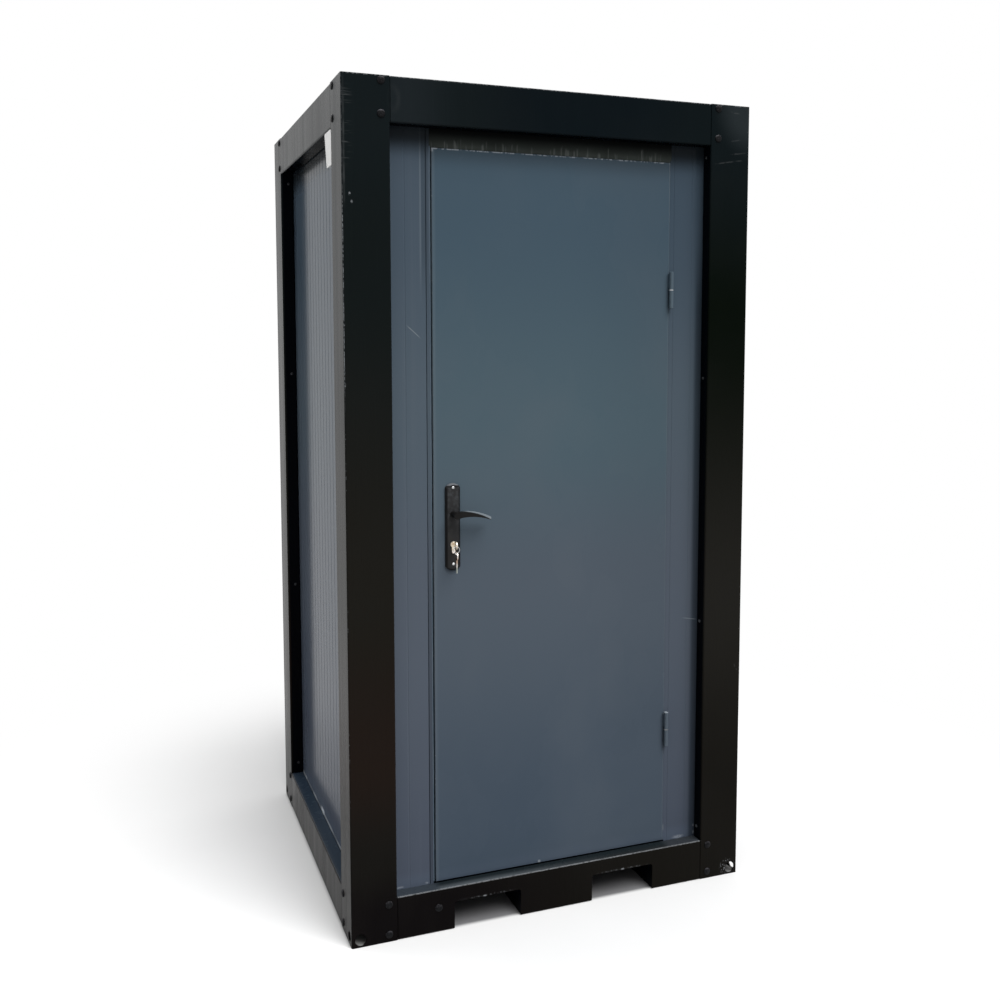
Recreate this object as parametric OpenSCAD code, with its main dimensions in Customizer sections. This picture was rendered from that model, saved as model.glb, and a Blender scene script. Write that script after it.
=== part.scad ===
// Portable site cabin: a bolted frame of folded steel sections, insulated panels set back in it,
// fork pockets under the floor, and one steel door hung on two lift-off hinges.
// Millimetres. The origin is on the ground in the middle of the footprint, the door faces -Y.

/* [Cabin] */
// Width over the frame, across the door side
cabin_w = 1200; // [1000:5:1500]
// Depth over the frame, front to rear
cabin_d = 1070; // [900:5:1600]
// Height from the ground to the top of the frame
cabin_h = 2300; // [1900:5:2600]

/* [Frame sections] */
// Width of each face of a corner post
post_w = 127; // [118:1:135]
// Height of the top rails
top_rail_h = 117; // [100:1:125]
// Height of the bottom rails
bottom_rail_h = 121; // [115:1:125]
// Thickness of the folded frame steel
sheet_t = 3; // [2:0.5:4]
// Outer radius of the folds
bend_r = 4.5; // [4.5:0.5:6]
// Depth from the frame's faces back to the panels
reveal = 42; // [38:1:45]
// Hidden lip behind which the panels bear
lip = 30; // [25:1:32]
// Open seam between a post and a rail
seam_gap = 2; // [1:0.5:3]
// Length of the rail tongue that is bolted behind a post
tongue_l = 40; // [30:1:50]
// Width of the flange on top of a top rail
top_flange = 60; // [50:1:65]
// Depth of the turned-down edge of that flange
top_edge = 40; // [25:1:45]
// Distance from a bottom rail's face to its inner web
rail_web = 60; // [55:1:70]
// Width of the shelf that carries the floor
floor_shelf = 30; // [20:1:40]

/* [Lashing holes] */
// Diameter of the holes at the foot of each post
lash_d = 32; // [24:1:34]
// Distance of a hole's centre from the corner edge
lash_in = 25; // [24:1:40]
// Height of a hole's centre
lash_z = 21; // [21:1:40]

/* [Fork pockets] */
// Width of a pocket
fork_w = 198; // [160:1:220]
// Height of a pocket
fork_h = 77.5; // [70:0.5:80]
// Distance between the pockets' centres
fork_spacing = 420; // [380:1:460]
// Corner radius at the top of a pocket
fork_r = 8; // [4:1:15]

/* [Panels] */
// Thickness of the insulated wall panels
wall_t = 50; // [46:1:52]
// Thickness of the roof panel between its ribs
roof_t = 60; // [50:1:62]
// Height of the roof panel's ribs
roof_rib_h = 18; // [10:1:20]
// Distance between the roof panel's ribs
roof_rib_pitch = 250; // [200:5:300]
// Width of a roof rib at its foot
roof_rib_w = 60; // [40:1:80]
// Thickness of the floor's base board
floor_base_t = 22; // [18:1:24]
// Thickness of the floor deck
floor_deck_t = 18; // [12:1:20]
// Distance between the grooves in the wall panels
groove_pitch = 44; // [40:1:60]
// Width of a groove at the panel's face
groove_w = 4; // [3:0.5:8]
// Depth of a groove
groove_d = 0.5; // [0.5:0.1:3]
// Distance from the door frame to the first groove beside it
groove_edge = 14; // [12:1:25]
// Leg of the angle trim in the inner corners
trim_leg = 40; // [25:1:60]
// Thickness of that trim
trim_t = 1.5; // [1:0.1:3]

/* [Door] */
// Visible width of the panel between the post and the lock jamb
lock_strip_w = 105; // [60:0.5:140]
// Visible width of the panel between the post and the hinge jamb
hinge_strip_w = 93.5; // [60:0.5:140]
// Visible height of the panel over the door
head_h = 44; // [20:1:120]
// Thickness of the leaf
leaf_t = 40; // [35:1:41]
// How far the leaf stands proud of the wall panels
leaf_proud = 4; // [2:1:6]
// Running gap at the leaf's edges
door_gap = 5.5; // [5:0.5:8]
// Gap between the leaf's foot and the top of the bottom rail
foot_gap = 8.5; // [7:0.5:12]
// Clearance between the leaf's back and the stops
stop_gap = 5; // [5:0.5:6]
// Overlap of the stops behind the leaf
stop_lap = 13; // [8:1:20]
// Visible width of a jamb
jamb_w = 11; // [10:1:20]
// Width of the open joint between a jamb and the panel beside it
joint_w = 2; // [1:0.5:3]
// Depth of that joint
joint_d = 5; // [2:0.5:8]
// Slant of the leaf's lock edge, front to back
leaf_bevel = 2; // [1:0.5:4]
// Folded corner along the leaf's front edges
leaf_fold = 1.5; // [0.5:0.5:3]

/* [Hinges] */
// Distance from the leaf's head down to the middle of the upper hinge
hinge_head_in = 361.5; // [150:0.5:450]
// Distance from the leaf's foot up to the middle of the lower hinge
hinge_foot_in = 341.5; // [150:0.5:450]
// Diameter of a hinge barrel
hinge_d = 13; // [11:0.5:14]
// Length of a hinge barrel
hinge_l = 105; // [80:1:140]
// Diameter of the hinge pin
hinge_pin_d = 8; // [6:0.5:8]
// Distance from the leaf's face out to the hinge axis
hinge_out = 8; // [8:0.5:10]
// Thickness of the bearing washer
washer_t = 2.6; // [1.5:0.1:4]

/* [Handle] */
// Height of the lever's spindle
spindle_z = 1158; // [1000:1:1250]
// Distance from the leaf's lock edge to the spindle
backset = 53; // [45:1:70]
// Distance from the spindle down to the lock cylinder
lock_drop = 83; // [72:1:92]
// Width of a handle plate
plate_w = 42; // [36:1:48]
// Height of a handle plate
plate_h = 240; // [230:1:260]
// Thickness of a handle plate
plate_t = 9; // [7:0.5:12]
// Rise of the arch at the ends of a plate
plate_arch = 11; // [5:1:16]
// Bevel round the face of a plate
plate_bevel = 4; // [2:0.5:6]
// Distance from the plate's middle up to the spindle
plate_up = 36; // [25:1:45]
// Length of the lever from the spindle to its tip
lever_l = 99; // [90:1:130]
// Drop of the lever's tip
lever_drop = 12.5; // [0:0.5:15]
// How far the arm rises as it leaves the neck
lever_rise = 5.5; // [0:0.5:8]
// Diameter of the lever's neck
neck_d = 18; // [16:0.5:20]
// Length of the neck in front of its plate
neck_l = 30; // [25:1:45]
// Depth of the lever arm
arm_t = 11; // [8:0.5:14]
// Side of the square spindle
spindle_w = 8; // [7:0.5:9]

/* [Lock and keys] */
// Diameter of the lock cylinder's round part
cylinder_d = 17; // [16:0.5:18]
// Height of the lock cylinder
cylinder_h = 33; // [30:0.5:34]
// Width of the cylinder's lower part
cylinder_w = 10; // [9:0.5:11]
// How far the cylinder stands out of the plates
cylinder_proud = 2.5; // [1:0.5:4]
// Thickness of a key
key_t = 2.4; // [2:0.1:3]
// Diameter of a key's bow
bow_d = 24; // [20:1:28]
// Diameter of the hole in a bow
bow_hole_d = 6.4; // [5:0.1:8]
// Length of the spare key below its bow
spare_l = 34; // [25:1:40]
// Diameter of the key ring at the middle of its wire
ring_d = 18; // [16:0.5:26]
// Diameter of the ring's wire
ring_wire_d = 1.6; // [1.2:0.1:2]

/* [Cable box] */
// Width of the cable box on the left side
box_w = 80; // [60:1:120]
// Height of the cable box
box_h = 89; // [70:1:140]
// Depth of the cable box's lid
box_lid_t = 12; // [8:1:18]
// Corner radius of the cable box's lid
box_r = 5; // [3:0.5:10]
// How far the lid's face leans in at its foot
box_slant = 5; // [0:0.5:6]

/* [Hidden] */
$fn = 64;
// Small named clearances
panel_clear = 2;
seat_clear = 0.3;
running_clear = 0.05;
channel_clear = 1;
cut_over = 1;

half_sheet = sheet_t / 2;
bend_mid_r = bend_r - half_sheet;
front_y = -cabin_d / 2;
left_x = -cabin_w / 2;
post_inner = post_w - lip;

// Levels, from the ground up
floor_z = fork_h + channel_clear / 2 + sheet_t;
wall_z0 = floor_z + floor_base_t;
deck_z = wall_z0 + floor_deck_t;
leaf_z0 = bottom_rail_h + foot_gap;
head_z = cabin_h - top_rail_h - head_h;
leaf_z1 = head_z - door_gap;
wall_z1 = cabin_h - top_rail_h + lip + panel_clear;

// Planes of the front, from the outside in
panel_y = front_y + reveal;
room_y = panel_y + wall_t;
leaf_y0 = panel_y - leaf_proud;
leaf_y1 = leaf_y0 + leaf_t;
leaf_mid_y = (leaf_y0 + leaf_y1) / 2;
stop_y = leaf_y1 + stop_gap;
room_x = left_x + reveal + wall_t;

// Edges of the door, from the lock side to the hinge side
lock_jamb_x = left_x + post_w + lock_strip_w + jamb_w;
hinge_jamb_x = -left_x - post_w - hinge_strip_w - jamb_w;
leaf_x0 = lock_jamb_x + door_gap;
leaf_x1 = hinge_jamb_x - door_gap;

// Hinge axis, hinge levels and handle centre
hinge_x = leaf_x1 + door_gap / 2;
hinge_y = leaf_y0 - hinge_out;
hinge_hi = leaf_z1 - hinge_head_in;
hinge_lo = leaf_z0 + hinge_foot_in;
spindle_x = leaf_x0 + backset;
lock_z = spindle_z - lock_drop;
plate_z = spindle_z - plate_up;
plate_y = leaf_y0 - plate_t;
face_y = plate_y - cylinder_proud;

frame_black = [0.10, 0.11, 0.12];
panel_grey = [0.27, 0.33, 0.37];
door_grey = [0.27, 0.33, 0.37];
inner_white = [0.90, 0.91, 0.91];
deck_brown = [0.42, 0.36, 0.30];
steel_grey = [0.60, 0.61, 0.62];
handle_black = [0.08, 0.08, 0.08];
key_brass = [0.78, 0.68, 0.42];
box_white = [0.93, 0.95, 0.95];

// Direction of a leg that runs along X or Y
function way_of(leg) = [sign(leg.x), sign(leg.y)];

// Straight leg of a folded section between two points in the middle of its thickness
module leg(a, b) {
    across = [abs(way_of(b - a).y), abs(way_of(b - a).x)] * half_sheet;
    low = [min(a.x, b.x), min(a.y, b.y)] - across;
    high = [max(a.x, b.x), max(a.y, b.y)] + across;
    translate(low) square(high - low);
}

// Quarter ring that turns a folded section at a corner from one direction to another
module bend(corner, into, out) {
    quarter = (into - out) * bend_r;
    translate(corner - (into - out) * bend_mid_r)
        intersection() {
            difference() {
                circle(r = bend_r);
                circle(r = bend_r - sheet_t);
            }
            translate([min(0, quarter.x), min(0, quarter.y)]) square(bend_r);
        }
}

// Section of folded sheet along the middle of its thickness, with a rounded bend at each corner
module folded(path) {
    last = len(path) - 1;
    for (i = [1 : last]) {
        way = way_of(path[i] - path[i - 1]);
        leg(
            path[i - 1] + way * (i == 1 ? -half_sheet : bend_mid_r),
            path[i] + way * (i == last ? half_sheet : -bend_mid_r)
        );
    }
    for (i = [1 : last - 1])
        bend(path[i], way_of(path[i] - path[i - 1]), way_of(path[i + 1] - path[i]));
}

// Places what is drawn for the front left corner, inward along +X and +Y, at any corner
module at_corner(side_x, side_y) {
    mirror([side_x > 0 ? 1 : 0, 0, 0])
        mirror([0, side_y > 0 ? 1 : 0, 0])
            translate([left_x, front_y, 0])
                children();
}

// Places what is drawn for the front, outer face on Y = 0 and inward along +Y, on any side
module on_front() { translate([0, front_y, 0]) children(); }
module on_rear() { mirror([0, 1, 0]) on_front() children(); }
module on_left() { rotate([0, 0, -90]) translate([0, left_x, 0]) children(); }
module on_right() { mirror([1, 0, 0]) on_left() children(); }

// Extrudes a section drawn inward and up, along X and centred on it
module run_along(length) {
    translate([-length / 2, 0, 0])
        rotate([90, 0, 90])
            linear_extrude(length)
                children();
}

// Extrudes an outline drawn in X and Z from one depth to another along Y
module through_y(y0, y1) {
    translate([0, y1, 0])
        rotate([90, 0, 0])
            linear_extrude(y1 - y0)
                children();
}

// Square plate that closes a post's end, rounded at the corner where the post is folded
module post_end() {
    linear_extrude(sheet_t)
        difference() {
            square(post_w);
            difference() {
                square(bend_r);
                translate([bend_r, bend_r]) circle(r = bend_r);
            }
        }
}

// Corner post: an angle beside the rails, lipped between them, with two lashing holes
module post(side_x, side_y) {
    edge = post_w - half_sheet;
    seat = reveal - half_sheet;
    back = post_inner + half_sheet;
    angle = [[edge, half_sheet], [half_sheet, half_sheet], [half_sheet, edge]];
    lipped = concat([[back, seat], [edge, seat]], angle, [[seat, edge], [seat, back]]);
    top_z = cabin_h - top_rail_h;
    color(frame_black)
        at_corner(side_x, side_y)
            difference() {
                union() {
                    linear_extrude(bottom_rail_h) folded(angle);
                    translate([0, 0, bottom_rail_h]) linear_extrude(top_z - bottom_rail_h) folded(lipped);
                    translate([0, 0, top_z]) linear_extrude(top_rail_h) folded(angle);
                    for (z = [0, cabin_h - sheet_t]) translate([0, 0, z]) post_end();
                }
                translate([lash_in, -cut_over, lash_z])
                    rotate([-90, 0, 0]) cylinder(d = lash_d, h = sheet_t + 2 * cut_over);
                translate([-cut_over, lash_in, lash_z])
                    rotate([0, 90, 0]) cylinder(d = lash_d, h = sheet_t + 2 * cut_over);
            }
}

// Tongues welded inside a rail's ends, which the posts cover and are bolted to
module tongues(length, height) {
    margin = 2 * sheet_t;
    for (side = [-1, 1])
        translate([side * (length + seam_gap) / 2 - seam_gap / 2 - tongue_l, sheet_t, margin])
            cube([2 * tongue_l + seam_gap, sheet_t, height - 2 * margin]);
}

// Rail between two posts, at the top of the frame
module top_rail(length) {
    section = [
        [reveal - half_sheet, lip - half_sheet],
        [reveal - half_sheet, half_sheet],
        [half_sheet, half_sheet],
        [half_sheet, top_rail_h - half_sheet],
        [top_flange - half_sheet, top_rail_h - half_sheet],
        [top_flange - half_sheet, top_rail_h - top_edge + half_sheet]
    ];
    color(frame_black)
        translate([0, 0, cabin_h - top_rail_h]) {
            run_along(length) folded(section);
            tongues(length, top_rail_h);
        }
}

// Rail between two posts, at the foot of the frame, with the shelf that carries the floor
module bottom_rail(length) {
    section = [
        [reveal - half_sheet, bottom_rail_h - lip + half_sheet],
        [reveal - half_sheet, bottom_rail_h - half_sheet],
        [half_sheet, bottom_rail_h - half_sheet],
        [half_sheet, half_sheet],
        [rail_web - half_sheet, half_sheet],
        [rail_web - half_sheet, floor_z - half_sheet],
        [rail_web + floor_shelf - half_sheet, floor_z - half_sheet]
    ];
    color(frame_black) {
        run_along(length) folded(section);
        tongues(length, bottom_rail_h);
    }
}

// Mouth of a fork pocket: open at the ground, with rounded upper corners
module fork_mouth() {
    translate([-fork_w / 2, -cut_over]) square([fork_w, fork_h - fork_r + cut_over]);
    translate([fork_r - fork_w / 2, 0]) square([fork_w - 2 * fork_r, fork_h]);
    for (side = [-1, 1])
        translate([side * (fork_w / 2 - fork_r), fork_h - fork_r]) circle(r = fork_r);
}

// Bottom rail with the pocket mouths in its face and room behind them for the channels
module forked_rail(length) {
    slot_w = fork_w + 4 * channel_clear + 2 * sheet_t;
    color(frame_black)
        difference() {
            bottom_rail(length);
            for (side = [-1, 1])
                translate([side * fork_spacing / 2, 0, 0]) {
                    through_y(-cut_over, sheet_t + cut_over) fork_mouth();
                    translate([-slot_w / 2, sheet_t, -cut_over])
                        cube([slot_w, rail_web + floor_shelf, floor_z + 2 * cut_over]);
                }
        }
}

// Channel that lines a fork pocket from the front rail to the rear one, open to the ground
module fork_channel(side) {
    half_w = fork_w / 2 + channel_clear + half_sheet;
    color(frame_black)
        translate([side * fork_spacing / 2, 0, 0])
            through_y(front_y + sheet_t, -front_y - sheet_t)
                folded([
                    [-half_w, half_sheet], [-half_w, floor_z - half_sheet],
                    [half_w, floor_z - half_sheet], [half_w, half_sheet]
                ]);
}

// Base board of the floor, on the shelf of the rails and on the channels
module floor_base() {
    inset = reveal + panel_clear;
    color(deck_brown)
        translate([left_x + inset, front_y + inset, floor_z])
            cube([cabin_w - 2 * inset, cabin_d - 2 * inset, floor_base_t]);
}

// Deck between the walls
module floor_deck() {
    color(deck_brown)
        translate([room_x + seat_clear, room_y + seat_clear, wall_z0])
            cube([-2 * (room_x + seat_clear), -2 * (room_y + seat_clear), floor_deck_t]);
}

// Roof panel on the heads of the walls, with trapezoidal ribs that run from front to rear
module roof_panel() {
    inset = top_flange + panel_clear;
    half_w = cabin_w / 2 - inset;
    rib_top = roof_rib_w / 2;
    ribs = floor((half_w - roof_rib_w) / roof_rib_pitch);
    color(inner_white)
        through_y(front_y + inset, -front_y - inset)
            translate([0, wall_z1]) {
                translate([-half_w, 0]) square([2 * half_w, roof_t]);
                for (i = [-ribs : ribs])
                    translate([i * roof_rib_pitch, roof_t])
                        polygon([
                            [-roof_rib_w / 2, 0], [roof_rib_w / 2, 0],
                            [rib_top / 2, roof_rib_h], [-rib_top / 2, roof_rib_h]
                        ]);
            }
}

// Plan of a wall panel from x0 to x1, its grooved face on Y = 0, with grooves at the given places
module panel_plan(x0, x1, grooves) {
    difference() {
        translate([x0, 0]) square([x1 - x0, wall_t]);
        for (x = grooves)
            translate([x, 0])
                polygon([
                    [-groove_w / 2, 0], [-groove_w / 4, groove_d],
                    [groove_w / 4, groove_d], [groove_w / 2, 0]
                ]);
    }
}

// Insulated wall panel, behind the lips of the posts and rails
module wall_panel(x0, x1, grooves) {
    color(panel_grey)
        translate([0, reveal, wall_z0])
            linear_extrude(wall_z1 - wall_z0)
                panel_plan(x0, x1, grooves);
}

module full_wall(side_length) {
    half_w = side_length / 2 - post_inner;
    count = floor((half_w - groove_w) / groove_pitch);
    wall_panel(-half_w, half_w, [for (i = [-count : count]) i * groove_pitch]);
}

// Narrow panel between a post and a jamb, grooved from the jamb outwards
module side_panel(jamb_x, post_x) {
    way = sign(post_x - jamb_x);
    count = floor((abs(post_x - jamb_x) - lip - 2 * groove_edge) / groove_pitch);
    wall_panel(
        min(jamb_x, post_x), max(jamb_x, post_x),
        [for (i = [1 : 1 : count]) jamb_x + way * (groove_edge + i * groove_pitch)]
    );
}

// Fills the doorway's width between two levels, stepped at the back round the jambs' stops
module between_jambs(z0, z1, stop_z0, stop_z1) {
    stop_w = door_gap + stop_lap;
    translate([lock_jamb_x, panel_y, z0])
        cube([hinge_jamb_x - lock_jamb_x, stop_y - panel_y, z1 - z0]);
    translate([lock_jamb_x + stop_w, stop_y, stop_z0])
        cube([hinge_jamb_x - lock_jamb_x - 2 * stop_w, room_y - stop_y, stop_z1 - stop_z0]);
}

// Panel over the door, with the stop behind the leaf's head
module head_panel() {
    color(panel_grey)
        between_jambs(head_z, wall_z1, leaf_z1 - stop_lap, wall_z1);
}

// Plan of a jamb at x = 0 that faces the leaf along +X, with the stop behind it
// and an open joint at the front corner that meets the wall panel
module jamb_plan() {
    difference() {
        translate([-jamb_w, panel_y]) square([jamb_w, wall_t]);
        translate([-jamb_w - cut_over, panel_y - cut_over])
            square([joint_w + cut_over, joint_d + cut_over]);
    }
    translate([-jamb_w, stop_y]) square([jamb_w + door_gap + stop_lap, room_y - stop_y]);
}

module jamb_post() {
    translate([0, 0, wall_z0]) linear_extrude(wall_z1 - wall_z0) jamb_plan();
}

// Room left in the lock jamb for the strike plate
strike_w = 22;
strike_h = 170;
strike_t = 2;
strike_below = 119;
strike_y = leaf_mid_y - strike_w / 2;
strike_z = spindle_z - strike_below;

module lock_jamb() {
    color(panel_grey)
        difference() {
            translate([lock_jamb_x, 0, 0]) jamb_post();
            translate([lock_jamb_x - strike_t, strike_y, strike_z])
                cube([strike_t + cut_over, strike_w, strike_h]);
        }
}

module hinge_jamb() {
    color(panel_grey)
        translate([hinge_jamb_x, 0, 0]) mirror([1, 0, 0]) jamb_post();
}

// Strike plate let into the lock jamb, with the keeps for the latch and the bolt
module strike_plate() {
    keep_w = 13;
    keep_h = 32;
    color(steel_grey)
        difference() {
            translate([lock_jamb_x - strike_t, strike_y, strike_z])
                cube([strike_t, strike_w, strike_h]);
            for (z = [spindle_z, lock_z])
                translate([lock_jamb_x - strike_t - cut_over, leaf_mid_y - keep_w / 2, z - keep_h / 2])
                    cube([strike_t + 2 * cut_over, keep_w, keep_h]);
        }
}

// Sill, with an upstand behind the leaf's foot
module door_sill() {
    color(steel_grey)
        between_jambs(wall_z0, leaf_z0 - door_gap, wall_z0, leaf_z0 + stop_lap);
}

// Angle trims that close the inner corners, from the deck to the ceiling
module corner_trims() {
    x0 = reveal + wall_t;
    color(inner_white)
        for (side_x = [-1, 1], side_y = [-1, 1])
            at_corner(side_x, side_y)
                translate([x0, x0, deck_z])
                    linear_extrude(wall_z1 - deck_z) {
                        square([trim_leg, trim_t]);
                        square([trim_t, trim_leg]);
                    }
}

// Rectangle with rounded corners, from the origin
module rounded_rect(w, h, r) {
    translate([r, 0]) square([w - 2 * r, h]);
    translate([0, r]) square([w, h - 2 * r]);
    for (x = [r, w - r], y = [r, h - r])
        translate([x, y]) circle(r = r);
}

// Cable box on the left wall, tight under the rail and beside the front post: a leaning lid over its base
module cable_box() {
    rim = 2;
    off_face = [[-box_h, 2 * box_slant], [-box_h, -cut_over], [box_h, -cut_over], [box_h, 0]];
    color(box_white)
        translate([left_x, front_y + post_w + seat_clear, cabin_h - top_rail_h - panel_clear - box_h])
            rotate([90, 0, 90]) {
                difference() {
                    linear_extrude(box_lid_t) rounded_rect(box_w, box_h, box_r);
                    translate([-cut_over, 0, 0])
                        rotate([90, 0, 90])
                            linear_extrude(box_w + 2 * cut_over) polygon(off_face);
                }
                translate([rim, rim, box_lid_t])
                    linear_extrude(reveal - box_lid_t)
                        rounded_rect(box_w - 2 * rim, box_h - 2 * rim, box_r - rim);
            }
}

// Lock case front let into the leaf's lock edge
faceplate_w = 20;
faceplate_h = 235;
faceplate_t = 2.5;
faceplate_below = 153;
faceplate_x = leaf_x0 + leaf_bevel;
faceplate_y = leaf_mid_y - faceplate_w / 2;
faceplate_z = spindle_z - faceplate_below;
// Ends of the drawn latch and bolt in that front
latch_w = 12;
latch_h = 26;
latch_sunk = 0.5;

// Outline of a profile lock cylinder about its round part, grown by a clearance
module cylinder_outline(grow) {
    circle(d = cylinder_d + 2 * grow);
    translate([-cylinder_w / 2 - grow, cylinder_d / 2 - cylinder_h + cylinder_w / 2 - grow])
        square([cylinder_w + 2 * grow, cylinder_h - cylinder_d / 2 - cylinder_w / 2 + grow]);
    translate([0, cylinder_d / 2 - cylinder_h + cylinder_w / 2])
        circle(d = cylinder_w + 2 * grow);
}

// Cuts for the lock cylinder and the spindle's way, right through the door
module lock_cuts(spindle_hole_d) {
    reach = plate_t + leaf_t;
    translate([spindle_x, 0, lock_z])
        through_y(leaf_y0 - reach, leaf_y1 + reach) cylinder_outline(seat_clear);
    translate([spindle_x, leaf_y0 - reach, spindle_z])
        rotate([-90, 0, 0]) cylinder(d = spindle_hole_d, h = 2 * reach + leaf_t);
}

// Door leaf: folded front corners, a slanted lock edge, and cuts for the lock
module door_leaf() {
    spindle_room = 20;
    color(door_grey)
        difference() {
            translate([0, 0, leaf_z0])
                linear_extrude(leaf_z1 - leaf_z0)
                    polygon([
                        [leaf_x0 + leaf_fold, leaf_y0], [leaf_x1 - leaf_fold, leaf_y0],
                        [leaf_x1, leaf_y0 + leaf_fold], [leaf_x1, leaf_y1],
                        [leaf_x0 + leaf_bevel, leaf_y1], [leaf_x0, leaf_y0 + leaf_fold]
                    ]);
            lock_cuts(spindle_room);
            translate([leaf_x0 - cut_over, faceplate_y, faceplate_z])
                cube([faceplate_x + faceplate_t - leaf_x0 + cut_over, faceplate_w, faceplate_h]);
        }
}

// Lock front with windows for the latch and the bolt, whose drawn ends lie in them
module lock_faceplate() {
    window_w = latch_w + 2 * seat_clear;
    window_h = latch_h + 2 * seat_clear;
    color(steel_grey) {
        difference() {
            translate([faceplate_x, faceplate_y, faceplate_z])
                cube([faceplate_t, faceplate_w, faceplate_h]);
            for (z = [spindle_z, lock_z])
                translate([faceplate_x - cut_over, leaf_mid_y - window_w / 2, z - window_h / 2])
                    cube([faceplate_t + 2 * cut_over, window_w, window_h]);
        }
        for (z = [spindle_z, lock_z])
            translate([faceplate_x + latch_sunk, leaf_mid_y - latch_w / 2, z - latch_h / 2])
                cube([faceplate_t - latch_sunk, latch_w, latch_h]);
    }
}

// Barrel of half a hinge, with a rounded shoulder at its free end
module hinge_barrel() {
    shoulder = 1.5;
    length = (hinge_l - washer_t) / 2 - seat_clear;
    cylinder(d = hinge_d, h = length - shoulder);
    translate([0, 0, length - shoulder])
        cylinder(d1 = hinge_d, d2 = hinge_d - 2 * shoulder, h = shoulder);
}

// Reach of a hinge's pin, width of its weld pad up to the barrel's side, and the pad's distance from the ends
pin_reach = 34;
pad_w = (hinge_d - door_gap) / 2;
pad_in = 7;

// Lower half of a hinge: the pin stands in it and its pad is welded to the jamb
module hinge_frame_half(z) {
    length = (hinge_l - washer_t) / 2 - seat_clear;
    color(door_grey)
        translate([hinge_x, hinge_y, z - washer_t / 2]) {
            mirror([0, 0, 1]) hinge_barrel();
            cylinder(d = hinge_pin_d, h = washer_t + pin_reach);
            translate([hinge_jamb_x - hinge_x, 0, -length + pad_in])
                cube([pad_w, panel_y - hinge_y, length - 2 * pad_in]);
        }
}

// Upper half of a hinge: it drops over the pin and its pad is welded to the leaf
module hinge_leaf_half(z) {
    length = (hinge_l - washer_t) / 2 - seat_clear;
    color(door_grey)
        translate([hinge_x, hinge_y, z + washer_t / 2 + seat_clear])
            difference() {
                union() {
                    hinge_barrel();
                    translate([leaf_x1 - hinge_x - pad_w, 0, pad_in])
                        cube([pad_w, hinge_out, length - 2 * pad_in]);
                }
                translate([0, 0, -cut_over])
                    cylinder(d = hinge_pin_d + 2 * running_clear, h = pin_reach + 2 * cut_over);
                translate([leaf_x1 - leaf_fold - hinge_x, hinge_out - cut_over, 0])
                    cube([hinge_d, hinge_d, length]);
            }
}

// Bright washers between the halves of the hinges
module hinge_washers() {
    color(steel_grey)
        for (z = [hinge_lo, hinge_hi])
            translate([hinge_x, hinge_y, z - washer_t / 2])
                difference() {
                    cylinder(d = hinge_d + 1, h = washer_t);
                    translate([0, 0, -cut_over])
                        cylinder(d = hinge_pin_d + 2 * seat_clear, h = washer_t + 2 * cut_over);
                }
}

// Outline of a handle plate about its middle, arched at both ends and drawn in by an inset
module plate_outline(inset) {
    half_w = plate_w / 2 - inset;
    half_h = plate_h / 2 - inset;
    radius = (half_w * half_w + plate_arch * plate_arch) / (2 * plate_arch);
    square([2 * half_w, 2 * (half_h - plate_arch)], center = true);
    for (way = [-1, 1])
        intersection() {
            translate([0, way * (half_h - radius)]) circle(r = radius, $fn = 96);
            translate([0, way * (half_h - plate_arch)]) square([2 * half_w, 2 * plate_arch], center = true);
        }
}

// Handle plate on the leaf's outer face, bevelled round its front
module handle_plate() {
    skin = 0.5;
    color(handle_black)
        difference() {
            translate([spindle_x, 0, plate_z])
                hull() {
                    through_y(leaf_y0 - plate_t / 2, leaf_y0) plate_outline(0);
                    through_y(plate_y, plate_y + skin) plate_outline(plate_bevel);
                }
            lock_cuts(neck_d + 2 * running_clear);
        }
}

// Places on the leaf's inner face what is drawn for its outer face
module inside() {
    translate([0, 2 * leaf_mid_y, 0]) mirror([0, 1, 0]) children();
}

// Side view of the lever arm: deep at the spindle, arched, and slim at its dropping tip
module arm_side() {
    steps = 16;
    root = neck_d / 2;
    tip = 4.2;
    middle = function (s) lever_rise * (1 - pow(1 - s, 6)) - (lever_rise + lever_drop) * pow(s, 2.5);
    half = function (s) root + (tip - root) * s;
    upper = [for (i = [0 : steps]) [lever_l * i / steps, middle(i / steps) + half(i / steps)]];
    lower = [for (i = [steps : -1 : 0]) [lever_l * i / steps, middle(i / steps) - half(i / steps)]];
    circle(d = neck_d);
    polygon(concat(upper, lower));
}

// Plan of the lever arm about the spindle: it leaves the neck and bows gently back to the door
module arm_plan() {
    arm_y = plate_y - neck_l;
    bow_r = lever_l * 2;
    intersection() {
        translate([-neck_d, arm_y - arm_t]) square([neck_d + lever_l, 2 * arm_t]);
        translate([lever_l / 3, arm_y + bow_r - arm_t])
            difference() {
                circle(r = bow_r, $fn = 180);
                circle(r = bow_r - arm_t, $fn = 180);
            }
    }
}

// Lever: a round neck that turns in the plate, and the arm across its end
module lever() {
    arm_y = plate_y - neck_l;
    color(handle_black)
        translate([spindle_x, 0, spindle_z]) {
            translate([0, arm_y, 0])
                rotate([-90, 0, 0]) cylinder(d = neck_d, h = leaf_y0 - arm_y);
            intersection() {
                through_y(arm_y - 2 * arm_t, arm_y + 2 * arm_t) arm_side();
                translate([0, 0, -lever_l]) linear_extrude(2 * lever_l) arm_plan();
            }
        }
}

// Square bar that joins the two levers through the leaf
module spindle() {
    color(steel_grey)
        translate([spindle_x - spindle_w / 2, leaf_y0, spindle_z - spindle_w / 2])
            cube([spindle_w, leaf_t, spindle_w]);
}

module lock_cylinder() {
    color(key_brass)
        translate([spindle_x, 0, lock_z])
            through_y(face_y, 2 * leaf_mid_y - face_y) cylinder_outline(0);
}

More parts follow.
